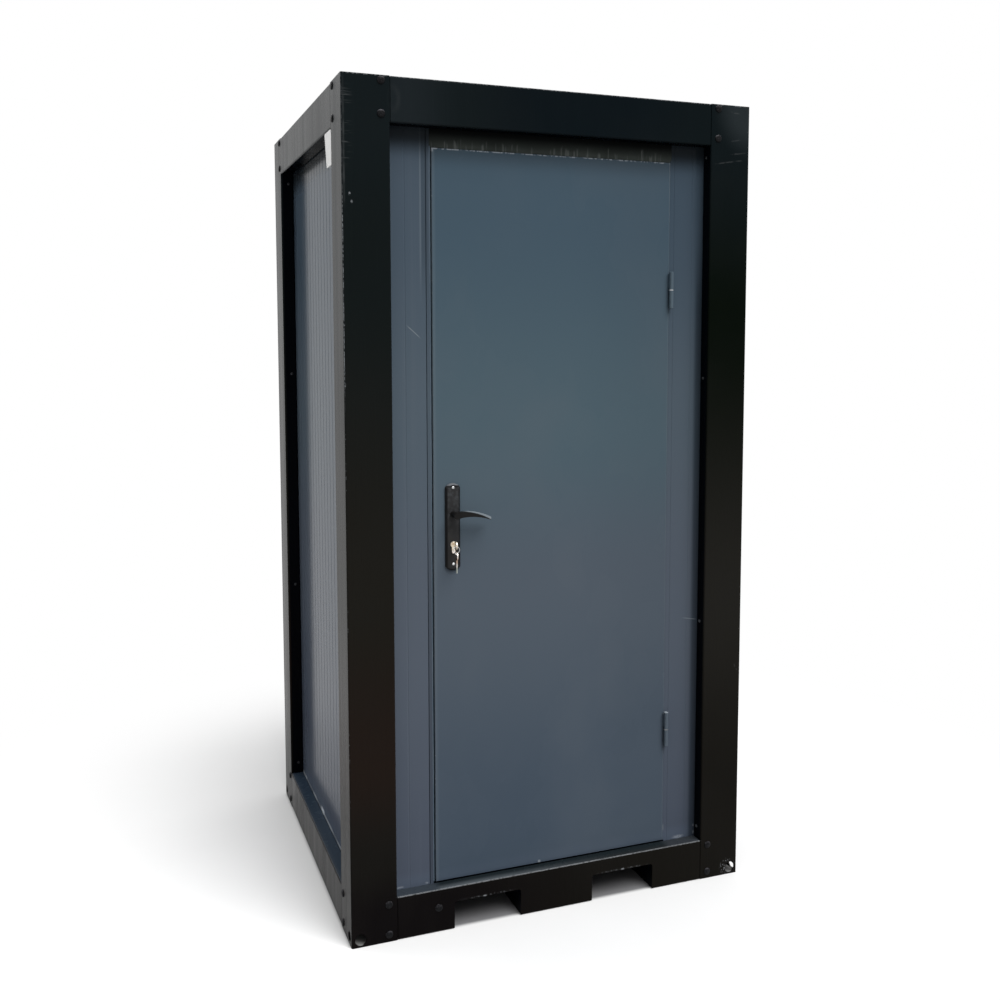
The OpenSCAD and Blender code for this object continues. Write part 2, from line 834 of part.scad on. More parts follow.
// Flat key in the plane across the door: bow round its hole, and a stem of the given length
// with a number of notches along one edge
module key_blank(stem_l, notches) {
    stem_z = -bow_hole_in - bow_d / 2 - stem_l;
    translate([-key_t / 2, 0, 0])
        rotate([90, 0, 90])
            linear_extrude(key_t)
                difference() {
                    union() {
                        translate([0, -bow_hole_in]) circle(d = bow_d);
                        translate([-key_stem_w / 2, stem_z])
                            square([key_stem_w, stem_l + bow_d / 2]);
                    }
                    circle(d = bow_hole_d);
                    for (i = [0 : 1 : notches - 1])
                        translate([key_stem_w / 2, stem_z + (i + 1) * notch_pitch])
                            rotate(45) square(notch_w, center = true);
                }
}

// Places of the hole in the key's bow, the ring's middle and the hole in the spare key
bow_rim = 3;
bow_hole_in = bow_d / 2 - bow_hole_d / 2 - bow_rim;
key_stem_l = 6;
key_stem_w = 9;
notch_w = 3;
notch_pitch = 4.5;
key_hole_y = face_y - key_stem_l - bow_d / 2 - bow_hole_in;
hang = bow_hole_d / 2 - ring_wire_d / 2 - seat_clear;
ring_z = lock_z - hang - ring_d / 2;
spare_hole_z = ring_z - ring_d / 2 - hang;

// Key in the lock, its stem against the cylinder
module key() {
    color(key_brass)
        translate([spindle_x, key_hole_y, lock_z])
            rotate([90, 0, 0]) key_blank(key_stem_l, 0);
}

// Ring that hangs in the key's bow
module key_ring() {
    color(steel_grey)
        translate([spindle_x, key_hole_y, ring_z])
            rotate([90, 0, 0])
                rotate_extrude() translate([ring_d / 2, 0]) circle(d = ring_wire_d, $fn = 32);
}

// Spare key that hangs on the ring
module spare_key() {
    color(key_brass)
        translate([spindle_x, key_hole_y, spare_hole_z])
            key_blank(spare_l, floor(spare_l / notch_pitch) - 2);
}

front_rail_l = cabin_w - 2 * (post_w + seam_gap);
side_rail_l = cabin_d - 2 * (post_w + seam_gap);

post(-1, -1);  // post_front_left
post(1, -1);  // post_front_right
post(-1, 1);  // post_rear_left
post(1, 1);  // post_rear_right
on_front() top_rail(front_rail_l);  // top_rail_front
on_rear() top_rail(front_rail_l);  // top_rail_rear
on_left() top_rail(side_rail_l);  // top_rail_left
on_right() top_rail(side_rail_l);  // top_rail_right
on_front() forked_rail(front_rail_l);  // bottom_rail_front
on_rear() forked_rail(front_rail_l);  // bottom_rail_rear
on_left() bottom_rail(side_rail_l);  // bottom_rail_left
on_right() bottom_rail(side_rail_l);  // bottom_rail_right
fork_channel(-1);  // fork_channel_left
fork_channel(1);  // fork_channel_right
floor_base();
floor_deck();
roof_panel();
on_left() full_wall(cabin_d);  // left_wall
on_right() full_wall(cabin_d);  // right_wall
on_rear() full_wall(cabin_w);  // rear_wall
on_front() side_panel(lock_jamb_x - jamb_w, left_x + post_inner);  // front_panel_left
on_front() side_panel(hinge_jamb_x + jamb_w, -left_x - post_inner);  // front_panel_right
head_panel();
lock_jamb();
hinge_jamb();
door_sill();
corner_trims();
cable_box();
strike_plate();
hinge_frame_half(hinge_hi);  // hinge_top_frame
hinge_frame_half(hinge_lo);  // hinge_bottom_frame
hinge_washers();
door_leaf();
hinge_leaf_half(hinge_hi);  // hinge_top_leaf
hinge_leaf_half(hinge_lo);  // hinge_bottom_leaf
lock_faceplate();
handle_plate();  // outer_handle_plate
inside() handle_plate();  // inner_handle_plate
lock_cylinder();
key();
key_ring();
spare_key();
lever();  // outer_lever
inside() lever();  // inner_lever
spindle();
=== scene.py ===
"""Looks of the site cabin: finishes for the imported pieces, small fixings and seals, a plain studio.

Metres, in the frame's own axes: the front faces -Y, +X is to the right, the ground is z = 0.
"""
import math
import random

import bmesh
import bpy
from mathutils import Matrix, Vector


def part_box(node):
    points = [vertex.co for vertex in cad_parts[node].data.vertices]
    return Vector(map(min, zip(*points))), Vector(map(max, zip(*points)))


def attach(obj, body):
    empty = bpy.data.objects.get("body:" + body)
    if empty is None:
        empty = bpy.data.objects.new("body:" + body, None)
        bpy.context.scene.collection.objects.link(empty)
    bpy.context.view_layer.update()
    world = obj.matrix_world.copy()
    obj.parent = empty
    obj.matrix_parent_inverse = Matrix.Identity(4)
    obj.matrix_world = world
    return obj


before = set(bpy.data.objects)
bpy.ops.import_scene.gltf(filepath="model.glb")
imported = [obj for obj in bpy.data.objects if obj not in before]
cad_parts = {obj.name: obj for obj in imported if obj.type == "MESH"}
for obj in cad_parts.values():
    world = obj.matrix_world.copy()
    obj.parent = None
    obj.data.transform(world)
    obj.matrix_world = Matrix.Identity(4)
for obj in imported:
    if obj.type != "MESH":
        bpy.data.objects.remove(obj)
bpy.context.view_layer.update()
bpy.context.scene.view_settings.view_transform = "Standard"

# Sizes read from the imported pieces
post_lo, post_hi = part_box("post_front_left")
leaf_lo, leaf_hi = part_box("door_leaf")
plate_lo, plate_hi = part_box("outer_handle_plate")
back_plate_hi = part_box("inner_handle_plate")[1]
strike_lo, strike_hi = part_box("strike_plate")
faceplate_lo, faceplate_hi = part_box("lock_faceplate")
rail_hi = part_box("bottom_rail_front")[1]
roof_lo, roof_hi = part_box("roof_panel")
head_lo, head_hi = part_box("head_panel")
lock_jamb_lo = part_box("lock_jamb")[0]
hinge_jamb_lo, hinge_jamb_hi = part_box("hinge_jamb")
spindle_lo, spindle_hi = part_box("spindle")
lever_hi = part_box("outer_lever")[1]
spare_lo, spare_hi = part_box("spare_key")
top_rail_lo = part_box("top_rail_front")[0]
panel_lo, panel_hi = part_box("front_panel_left")
wall_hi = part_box("left_wall")[1]
pocket_lo, pocket_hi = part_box("fork_channel_right")
HALF_W = -post_lo.x
HALF_D = -post_lo.y
TOP = post_hi.z
LEDGE = rail_hi.z
POST_W = post_hi.x - post_lo.x
ROOM_X = -wall_hi.x
ROOM_Y = -panel_hi.y
REVEAL = panel_lo.y - post_lo.y
REVEAL_X = HALF_W - REVEAL
LIP_X = HALF_W - POST_W
LEAF_MID = (leaf_lo.y + leaf_hi.y) / 2
PLATE_MID = (plate_lo.x + plate_hi.x) / 2
PLATE_RIM = LEAF_MID - plate_lo.y
# Gaps behind and round the leaf, the opening that they leave, and a hair's breadth for what lies flush
STOP_GAP = 0.005
DOOR_GAP = leaf_lo.x - head_lo.x
OPENING_FOOT = leaf_lo.z - DOOR_GAP
OPENING_HEAD = leaf_hi.z + DOOR_GAP
HAIR = 0.0003


class Nodes:
    """Short names for the nodes of a shader tree."""

    def __init__(self, tree):
        self.tree = tree

    def put(self, socket, value):
        """Sets a socket to a value, or links another socket to it."""
        if isinstance(value, bpy.types.NodeSocket):
            self.tree.links.new(value, socket)
        elif isinstance(value, tuple) and len(value) == 3 and socket.type == "RGBA":
            socket.default_value = (*value, 1.0)
        else:
            socket.default_value = value

    def add(self, kind, *values, **settings):
        """A new node with its settings and the values of its first sockets."""
        node = self.tree.nodes.new(kind)
        for name, setting in settings.items():
            setattr(node, name, setting)
        for socket, value in zip(node.inputs, values):
            self.put(socket, value)
        return node

    def calc(self, operation, *values):
        return self.add("ShaderNodeMath", *values, operation=operation).outputs[0]

    def times(self, *values):
        product = values[0]
        for value in values[1:]:
            product = self.calc("MULTIPLY", product, value)
        return product

    def most(self, *values):
        greatest = values[0]
        for value in values[1:]:
            greatest = self.calc("MAXIMUM", greatest, value)
        return greatest

    def step(self, value, low, high):
        """Rises smoothly from 0 at low to 1 at high; falls where high is below low."""
        node = self.add("ShaderNodeMapRange", value, interpolation_type="SMOOTHSTEP")
        rising = low < high
        self.put(node.inputs["From Min"], low if rising else high)
        self.put(node.inputs["From Max"], high if rising else low)
        self.put(node.inputs["To Min"], 0.0 if rising else 1.0)
        self.put(node.inputs["To Max"], 1.0 if rising else 0.0)
        return node.outputs[0]

    def looked_at(self):
        """1 for the rays that show a thing in the picture: straight, mirrored or passed through."""
        path = self.add("ShaderNodeLightPath").outputs
        return self.most(path["Is Camera Ray"], path["Is Glossy Ray"], path["Is Transmission Ray"])

    def level(self, amount, low, high):
        """A number that goes from low to high with an amount of 0 to 1."""
        return self.calc("MULTIPLY_ADD", amount, high - low, low)


class Paint(Nodes):
    """A material in the making."""

    def __init__(self, name):
        self.material = bpy.data.materials.new(name)
        self.material.use_nodes = True
        super().__init__(self.material.node_tree)
        self.shader = self.tree.nodes["Principled BSDF"]
        self.place = self.add("ShaderNodeTexCoord").outputs["Object"]
        self.x, self.y, self.z = self.add("ShaderNodeSeparateXYZ", self.place).outputs
        normal = self.add("ShaderNodeNewGeometry").outputs["Normal"]
        self.up = self.add("ShaderNodeSeparateXYZ", normal).outputs[2]

    def near(self, value, target, reach):
        """1 at the target, 0 from reach onwards."""
        apart = self.calc("ABSOLUTE", self.calc("SUBTRACT", value, target))
        return self.step(apart, reach, 0.4 * reach)

    def between(self, value, low, high, soft):
        """1 from low to high, with soft ends."""
        return self.times(self.step(value, low - soft, low + soft), self.step(value, high + soft, high - soft))

    def noise(self, scale, stretch=(1, 1, 1), detail=3.0):
        """Cloudy noise; a stretch below 1 draws it out along that axis."""
        spread = self.add("ShaderNodeVectorMath", self.place, stretch, operation="MULTIPLY").outputs[0]
        node = self.add("ShaderNodeTexNoise")
        self.put(node.inputs["Vector"], spread)
        self.put(node.inputs["Scale"], scale)
        self.put(node.inputs["Detail"], detail)
        return node.outputs[0]

    def blend(self, amount, low, high):
        """A colour that goes from low to high with an amount of 0 to 1."""
        node = self.add("ShaderNodeMix", data_type="RGBA")
        self.put(node.inputs[0], amount)
        self.put(node.inputs[6], low)
        self.put(node.inputs[7], high)
        return node.outputs[2]

    def scratch(self, along, across, start, end, width):
        """A straight scratch between two points of a face, thinning out towards both ends."""
        run = Vector(end) - Vector(start)
        length = run.length
        way = run / length
        from_a = self.calc("SUBTRACT", along, start[0])
        from_b = self.calc("SUBTRACT", across, start[1])
        travelled = self.calc("ADD", self.times(from_a, way.x), self.times(from_b, way.y))
        aside = self.calc("SUBTRACT", self.times(from_a, way.y), self.times(from_b, way.x))
        middle = self.near(travelled, length / 2, length / 2)
        return self.times(middle, self.step(self.calc("ABSOLUTE", aside), width, 0.3 * width))

    def spot(self, along, across, at, half_along, half_across):
        """1 in the middle of an oval mark on a face, 0 outside it."""
        a = self.calc("DIVIDE", self.calc("SUBTRACT", along, at[0]), half_along)
        b = self.calc("DIVIDE", self.calc("SUBTRACT", across, at[1]), half_across)
        reach = self.calc("SQRT", self.calc("ADD", self.times(a, a), self.times(b, b)))
        return self.step(reach, 1.0, 0.35)

    def finish(self, colour, rough, height=None, depth=0.0002, strength=0.5, ior=1.5, metal=0.0):
        """Sets the shader and gives the material; a height makes a bump of that depth."""
        self.put(self.shader.inputs["Base Color"], colour)
        self.put(self.shader.inputs["Roughness"], rough)
        self.shader.inputs["IOR"].default_value = ior
        self.shader.inputs["Metallic"].default_value = metal
        if height is not None:
            bump = self.add("ShaderNodeBump")
            bump.inputs["Strength"].default_value = strength
            bump.inputs["Distance"].default_value = depth
            self.put(bump.inputs["Height"], height)
            self.put(self.shader.inputs["Normal"], bump.outputs[0])
        return self.material


FRAME_IOR = 1.10
PANEL_IOR = 1.10
BARE = (0.36, 0.38, 0.40)
WHITE_LINING = (0.62, 0.63, 0.62)
# How far in from the frame's outer faces a bend and its crest begin and are full
BEND = (0.0050, 0.0020)
CREST = (0.0026, 0.0013)
# Heights between which the left front post's bend has been struck most
STRUCK = (1.52, 1.98)


def edge_wear(p):
    """Grey lines and chips where the frame's bends have been knocked and rubbed."""
    chip = p.noise(170, detail=4)
    patch = p.noise(7.0, detail=2)
    side = p.calc("ABSOLUTE", p.x)
    depth = p.calc("ABSOLUTE", p.y)
    at_side = p.step(side, *[HALF_W - inset for inset in BEND])
    at_face = p.step(depth, *[HALF_D - inset for inset in BEND])
    crest = p.times(
        p.step(side, *[HALF_W - inset for inset in CREST]),
        p.step(depth, *[HALF_D - inset for inset in CREST]),
    )
    front_left = p.times(p.step(p.x, 0.01, -0.01), p.step(p.y, 0.01, -0.01))
    struck = p.level(p.between(p.z, *STRUCK, 0.06), 0.25, 1.0)
    above = p.step(p.z, STRUCK[0] - 0.12, STRUCK[0])
    wear_and_painted_light = p.times(crest, front_left, struck, above, p.step(chip, 0.36, 0.58))
    rail_span = p.step(side, HALF_W - POST_W, HALF_W - POST_W - 0.001)
    ledge_bend = p.times(at_face, rail_span, p.near(p.z, LEDGE - 0.0008, 0.0021))
    top_bend = p.times(p.most(at_side, at_face), p.near(p.z, TOP - 0.0008, 0.0030))
    lintel = p.times(
        at_face,
        p.near(p.z, pocket_hi.z - 0.001, 0.0030),
        p.near(side, (pocket_lo.x + pocket_hi.x) / 2, 0.095),
    )
    return p.most(
        p.times(crest, p.step(chip, 0.60, 0.68), p.step(patch, 0.45, 0.6), 0.45),
        wear_and_painted_light,
        p.times(ledge_bend, p.level(p.step(chip, 0.30, 0.55), 0.14, 0.46), p.level(patch, 0.5, 1.1)),
        p.times(top_bend, p.step(chip, 0.47, 0.62), 0.38),
        p.times(lintel, p.step(chip, 0.45, 0.62), 0.14),
    )


# Marks on the front of the frame, as places across and up the face
LINTEL_KNOCKS = ((0.210, 0.0795), (-0.220, 0.0790))
POST_KNOCKS = ((-0.580, 1.999), (-0.5745, 1.980), (-0.598, 1.670), (-0.598, 1.514))
# Wear round the right lashing hole and a ring stain on the top rail: place, half width and half height
LASH_WEAR = ((HALF_W - 0.034, 0.024), 0.030, 0.030)
RING_OUTSIDE = ((-0.4615, 2.243), 0.022, 0.042)
RING_INSIDE = ((-0.4645, 2.243), 0.017, 0.035)
# Faint scratches on the right post, from one place to another
POST_SCRATCHES = (
    ((0.536, 2.198), (0.577, 2.205)),
    ((0.527, 2.160), (0.595, 2.169)),
    ((0.474, 2.130), (0.595, 2.149)),
    ((0.529, 2.290), (0.544, 2.279)),
    ((0.542, 2.279), (0.572, 2.278)),
    ((0.578, 0.657), (0.584, 0.643)),
    ((0.582, 0.644), (0.591, 0.636)),
)


def front_marks(p):
    """Knocks, a ring stain, hairline scratches, lashing wear and a painted highlight along the left post's bend on
    the front of the frame.
    """
    chip = p.noise(170, detail=4)
    on_front = p.step(p.y, -HALF_D + 0.004, -HALF_D + 0.002)
    lintel = p.times(p.most(*[p.spot(p.x, p.z, at, 0.0075, 0.0032) for at in LINTEL_KNOCKS]), 0.6)
    struck = p.most(*[p.spot(p.x, p.z, at, 0.0036, 0.0060) for at in POST_KNOCKS])
    lashed = p.times(p.spot(p.x, p.z, *LASH_WEAR), p.step(chip, 0.56, 0.62))
    knocks = p.most(lintel, p.times(struck, p.step(chip, 0.35, 0.60), 0.7), lashed)
    ring = p.calc("SUBTRACT", p.spot(p.x, p.z, *RING_OUTSIDE), p.spot(p.x, p.z, *RING_INSIDE))
    left_hairs = p.times(
        p.step(p.noise(330, (0.05, 0.05, 1), detail=1), 0.57, 0.65),
        p.step(p.x, -HALF_W + 0.034, -HALF_W + 0.006),
        p.between(p.z, 2.08, 2.26, 0.02),
    )
    scratches = p.most(*[p.scratch(p.x, p.z, start, end, 0.0026) for start, end in POST_SCRATCHES])
    scratches = p.times(scratches, p.step(p.noise(60, detail=3), 0.38, 0.62))
    # Painted highlight: a narrow light line just in from the left post's front bend, high up, broken by noise.
    wear_and_painted_light = p.times(
        p.between(p.x, -HALF_W + 0.0045, -HALF_W + 0.0075, 0.0025),
        p.between(p.z, 1.98, 2.28, 0.04),
        p.level(p.step(p.noise(40, (1, 1, 0.5), detail=3), 0.35, 0.65), 0.25, 1.0),
    )
    faint = p.most(p.times(left_hairs, 0.8), p.times(scratches, 0.5), p.times(ring, 0.2), wear_and_painted_light)
    return p.times(on_front, knocks), p.times(on_front, faint)


def height_tone(p, tones):
    """Colour of a weathered upright face, from its tones at a few heights, lowest first."""
    (below, colour), *higher = tones
    for level, tone in higher:
        colour = p.blend(p.step(p.z, below, level), colour, tone)
        below = level
    return colour


# Tones of the black coating at heights above the ground: browner low down, bluish under the roof's edge; these
# changes with height and between left and right are painted reflection and shade
FRAME_LEFT_TONES = (
    (0.08, (0.0030, 0.0022, 0.0024)),
    (0.22, (0.0060, 0.0053, 0.0043)),
    (0.50, (0.0122, 0.0075, 0.0055)),
    (0.95, (0.0102, 0.0093, 0.0073)),
    (1.85, (0.0048, 0.0072, 0.0074)),
    (2.20, (0.0052, 0.0084, 0.0096)),
)
FRAME_RIGHT_TONES = (
    (0.30, (0.0062, 0.0054, 0.0041)),
    (0.85, (0.0128, 0.0120, 0.0102)),
    (1.70, (0.0005, 0.0021, 0.0006)),
    (2.20, (0.0034, 0.0064, 0.0076)),
)


def painted_rail_sheen(p, black):
    """Painted reflection: a greyer sheen at both ends of the top rail, with a calm darker middle."""
    at_top = p.step(p.z, top_rail_lo.z - 0.05, top_rail_lo.z + 0.01)
    calm = p.times(at_top, p.between(p.x, -0.20, 0.34, 0.10), 0.85)
    black = p.blend(calm, black, (0.0024, 0.0052, 0.0073))
    left = p.times(at_top, p.step(p.x, -LIP_X - 0.002, -LIP_X + 0.002), p.step(p.x, -0.27, -0.43), 0.85)
    black = p.blend(left, black, (0.0115, 0.0155, 0.0180))
    right = p.spot(p.x, p.z, (HALF_W, TOP), 0.13, 0.16)
    return p.blend(right, black, (0.0180, 0.0235, 0.0260))


def ledge_tone(p):
    """Colour of the ledge before the panels with painted reflection and shade: paler towards its bends and at the
    front's left end, in painted shade under the leaf, bluer on the left.
    """
    forward = p.step(p.y, panel_lo.y - 0.013, -HALF_D + 0.003)
    under_leaf = p.between(p.x, leaf_lo.x, leaf_hi.x, 0.015)
    front = p.blend(p.step(p.x, -0.30, 0.25), (0.078, 0.090, 0.100), (0.016, 0.019, 0.020))
    shaded = p.blend(forward, (0.0115, 0.0165, 0.0190), front)
    open_part = p.blend(p.step(p.x, -0.2, 0.2), (0.036, 0.045, 0.056), (0.032, 0.037, 0.043))
    front_ledge = p.blend(under_leaf, open_part, shaded)
    bend = p.step(p.x, -HALF_W + 0.016, -HALF_W + 0.002)
    left_ledge = p.blend(p.times(bend, 0.7), (0.029, 0.045, 0.067), (0.050, 0.062, 0.078))
    return p.blend(p.step(p.x, -LIP_X - 0.02, -LIP_X - 0.05), front_ledge, left_ledge)


def frame_paint():
    """Black coating on the folded sections: bluish above and browner low down as painted reflection and shade, dusty
    at the foot, with painted shade in the reveals and painted light on the foot plates.
    """
    p = Paint("frame_paint")
    cloud = p.noise(2.6, detail=5)
    smear = p.noise(9.0, (1, 1, 0.25), detail=4)
    streak = p.noise(80, (1, 1, 0.02), detail=3)
    satin = p.noise(26, (1, 1, 0.03), detail=4)
    grain = p.noise(1300, detail=2)
    wear = edge_wear(p)
    knocks, faint = front_marks(p)
    # Painted reflection and shade: the coating's tones change with height and between left and right, and the top
    # rail gets a painted sheen at its ends.
    black = p.blend(p.step(p.x, -0.35, 0.30), height_tone(p, FRAME_LEFT_TONES), height_tone(p, FRAME_RIGHT_TONES))
    black = painted_rail_sheen(p, black)
    tone = p.blend(p.times(p.step(cloud, 0.42, 0.70), 0.12), black, (0.0120, 0.0125, 0.0120))
    # Painted shade: faces set back from the outer faces, in the reveals, are darkened towards near black.
    reveal_shade = p.times(
        p.step(p.calc("ABSOLUTE", p.x), HALF_W - 0.005, HALF_W - 0.008),
        p.step(p.calc("ABSOLUTE", p.y), HALF_D - 0.005, HALF_D - 0.008),
    )
    tone = p.blend(p.times(reveal_shade, 0.85), tone, (0.0006, 0.0013, 0.0032))
    dust = p.times(p.step(p.z, 0.42, 0.0), p.step(smear, 0.42, 0.75), 0.1)
    colour = p.blend(dust, tone, (0.020, 0.017, 0.015))
    on_ledge = p.times(p.step(p.up, 0.80, 0.97), p.near(p.z, LEDGE, 0.004))
    settled = p.times(p.step(p.up, 0.80, 0.97), p.level(smear, 0.0, 0.5), p.step(p.z, LEDGE, LEDGE + 0.2))
    colour = p.blend(settled, colour, (0.050, 0.050, 0.048))
    # Painted reflection and shade on the ledge's upward faces, blended in by the smear.
    colour = p.blend(p.times(on_ledge, p.level(smear, 0.70, 1.00)), colour, ledge_tone(p))
    # Painted light: the upward faces at the posts' feet are painted pale grey, broken by the smear, where lit ground
    # would show through the lashing holes.
    foot_plate_light = p.times(p.step(p.up, 0.80, 0.97), p.step(p.z, 0.020, 0.014))
    colour = p.blend(p.times(foot_plate_light, p.level(smear, 0.4, 1.0)), colour, (0.22, 0.22, 0.215))
    # Faint marks and scratches, together with the painted highlight along the left post's bend.
    colour = p.blend(p.times(faint, 0.55), colour, (0.085, 0.090, 0.092))
    colour = p.blend(p.times(p.most(wear, knocks), 0.85), colour, BARE)
    shine = p.calc("ADD", p.times(satin, 0.6), p.times(wear, 0.5))
    rough = p.level(p.calc("ADD", shine, p.times(cloud, 0.2)), 0.10, 0.50)
    height = p.calc("SUBTRACT", p.calc("ADD", p.times(grain, 0.3), p.times(streak, 0.5)), wear)
    return p.finish(colour, rough, height, depth=0.0002, strength=0.25, ior=FRAME_IOR)


def room_side(p):
    """1 on the faces turned into the room, which have the white lining."""
    beyond = p.most(
        p.calc("SUBTRACT", p.calc("ABSOLUTE", p.x), ROOM_X + HAIR),
        p.calc("SUBTRACT", p.calc("ABSOLUTE", p.y), ROOM_Y + HAIR),
    )
    return p.calc("LESS_THAN", beyond, 0.0)


def lining_colour(p):
    """White coated lining with faint grey rubs."""
    rubs = p.step(p.noise(14, (1, 1, 0.3), detail=5), 0.55, 0.8)
    return p.blend(p.times(rubs, 0.4), WHITE_LINING, (0.50, 0.51, 0.50))


# Scuffs low on the front panels: place across and up the face, half width and half height
PANEL_SCUFFS = (
    ((-0.455, 0.1245), 0.016, 0.0042),
    ((-0.3765, 0.1245), 0.006, 0.0045),
    ((0.418, 0.1250), 0.026, 0.0070),
    ((0.4710, 0.1525), 0.004, 0.0060),
    ((0.4710, 0.1300), 0.004, 0.0080),
)
# Folded edge between the left panel and the lock jamb, painted as a band of shade, and the painted highlight line
# before it, across the face
FOLD = (panel_hi.x - 0.0105, panel_hi.x + 0.0060)
FOLD_LIGHT = panel_hi.x - 0.0140
# Scratches on the front panels: start, end, width and strength
PANEL_SCRATCHES = (
    ((-0.425, 1.671), (-0.380, 1.631), 0.0016, 0.7),
    ((0.420, 0.802), (0.476, 0.792), 0.0020, 0.5),
    ((0.3655, 0.176), (0.3665, 0.150), 0.0030, 0.3),
)
# A chip at the foot of the left panel: place along and up its face, half width and half height
FOOT_CHIP = ((0.060, LEDGE + 0.004), 0.040, 0.014)
# Tones of the panels' and the door's coating at heights above the ground; their changes with height are painted
# reflection and shade
PANEL_TONES = (
    (0.15, (0.0617, 0.0745, 0.1030)),
    (0.95, (0.0826, 0.1000, 0.1280)),
    (1.40, (0.0784, 0.1040, 0.1300)),
    (2.00, (0.0515, 0.0765, 0.1045)),
)
DOOR_TONES = (
    (0.15, (0.0497, 0.0695, 0.0962)),
    (0.95, (0.0780, 0.0980, 0.1230)),
    (1.40, (0.0694, 0.1060, 0.1300)),
    (2.00, (0.0544, 0.0867, 0.1160)),
)


def panel_shades(p, colour, on_front):
    """Paler by the ledge, painted shade in the right corner by the post's lip and at the jamb's lip, with a band of
    painted shade and a painted highlight line where the panel folds into the jamb above.
    """
    by_ledge = p.step(p.z, LEDGE + 0.050, LEDGE + 0.010)
    colour = p.blend(p.times(by_ledge, 0.30), colour, (0.100, 0.130, 0.180))
    corner_shade = p.times(on_front, p.step(p.x, LIP_X - 0.026, LIP_X - 0.012), p.step(p.z, 1.95, 1.70))
    colour = p.blend(p.times(corner_shade, 0.55), colour, (0.012, 0.018, 0.026))
    jamb_lip_shade = p.times(on_front, p.between(p.x, lock_jamb_lo.x, head_lo.x, 0.001))
    colour = p.blend(p.times(jamb_lip_shade, p.level(p.step(p.z, 1.25, 0.85), 0.15, 0.42)), colour, (0.020, 0.026, 0.034))
    upper = p.times(on_front, p.step(p.z, 1.70, 1.90))
    fold_shade = p.times(upper, p.between(p.x, *FOLD, 0.0025))
    colour = p.blend(p.times(fold_shade, 0.30), colour, (0.022, 0.030, 0.036))
    return p.blend(p.times(upper, p.near(p.x, FOLD_LIGHT, 0.0030), 0.30), colour, (0.170, 0.200, 0.225))


def panel_marks(p, colour, on_front):
    """Scratches and scuffs on the front panels, a pale line and a chip at the side panels' feet."""
    chip = p.noise(260, detail=4)
    scratches = p.most(*[
        p.times(p.scratch(p.x, p.z, start, end, width), strength)
        for start, end, width, strength in PANEL_SCRATCHES
    ])
    colour = p.blend(p.times(scratches, on_front), colour, (0.22, 0.25, 0.27))
    scuffs = p.most(*[p.spot(p.x, p.z, at, wide, tall) for at, wide, tall in PANEL_SCUFFS])
    scuffs = p.times(scuffs, on_front, p.step(chip, 0.36, 0.54))
    colour = p.blend(p.times(scuffs, 0.45), colour, (0.34, 0.37, 0.41))
    on_left = p.step(p.x, 0.1, -0.1)
    side_foot = p.times(
        p.step(p.calc("ABSOLUTE", p.x), REVEAL_X - 0.004, REVEAL_X - 0.002),
        p.near(p.z, LEDGE + 0.001, 0.0075),
        p.level(p.step(p.noise(9.0, detail=2), 0.40, 0.62), 0.2, 0.6),
        p.level(on_left, 0.4, 1.0),
    )
    foot_chip = p.times(on_left, p.spot(p.y, p.z, *FOOT_CHIP))
    return p.blend(p.most(side_foot, foot_chip), colour, (0.66, 0.72, 0.78))


def panel_paint():
    """Blue-grey coated sheet of the wall panels, with upright run marks, a scuffed foot and a white inside."""
    p = Paint("panel_paint")
    cloud = p.noise(1.8, (1, 1, 0.5), detail=4)
    runs = p.noise(70, (1, 1, 0.012), detail=4)
    grain = p.noise(1500, detail=2)
    colour = height_tone(p, PANEL_TONES)
    colour = p.blend(p.times(p.step(cloud, 0.40, 0.70), 0.30), colour, (0.098, 0.116, 0.142))
    colour = p.blend(p.times(p.step(runs, 0.52, 0.74), 0.10), colour, (0.130, 0.150, 0.174))
    # Painted shade: the panels darken towards the right, as in the right post's shade.
    colour = p.blend(p.times(p.step(p.x, -0.3, 0.3), 0.16), colour, (0.030, 0.042, 0.056))
    on_front = p.step(p.y, panel_lo.y + 0.004, panel_lo.y + 0.002)
    colour = panel_shades(p, colour, on_front)
    colour = panel_marks(p, colour, on_front)
    # Painted shade: a dark band just under the top rail.
    under_rail_shade = p.step(p.z, top_rail_lo.z - 0.088, top_rail_lo.z - 0.014)
    colour = p.blend(p.times(under_rail_shade, 0.85), colour, (0.010, 0.012, 0.013))
    colour = p.blend(room_side(p), colour, lining_colour(p))
    rough = p.level(p.calc("ADD", p.times(cloud, 0.3), p.times(runs, 0.3)), 0.08, 0.30)
    height = p.calc("ADD", p.times(runs, 1.0), p.times(grain, 0.15))
    return p.finish(colour, rough, height, depth=0.0001, strength=0.08, ior=PANEL_IOR)


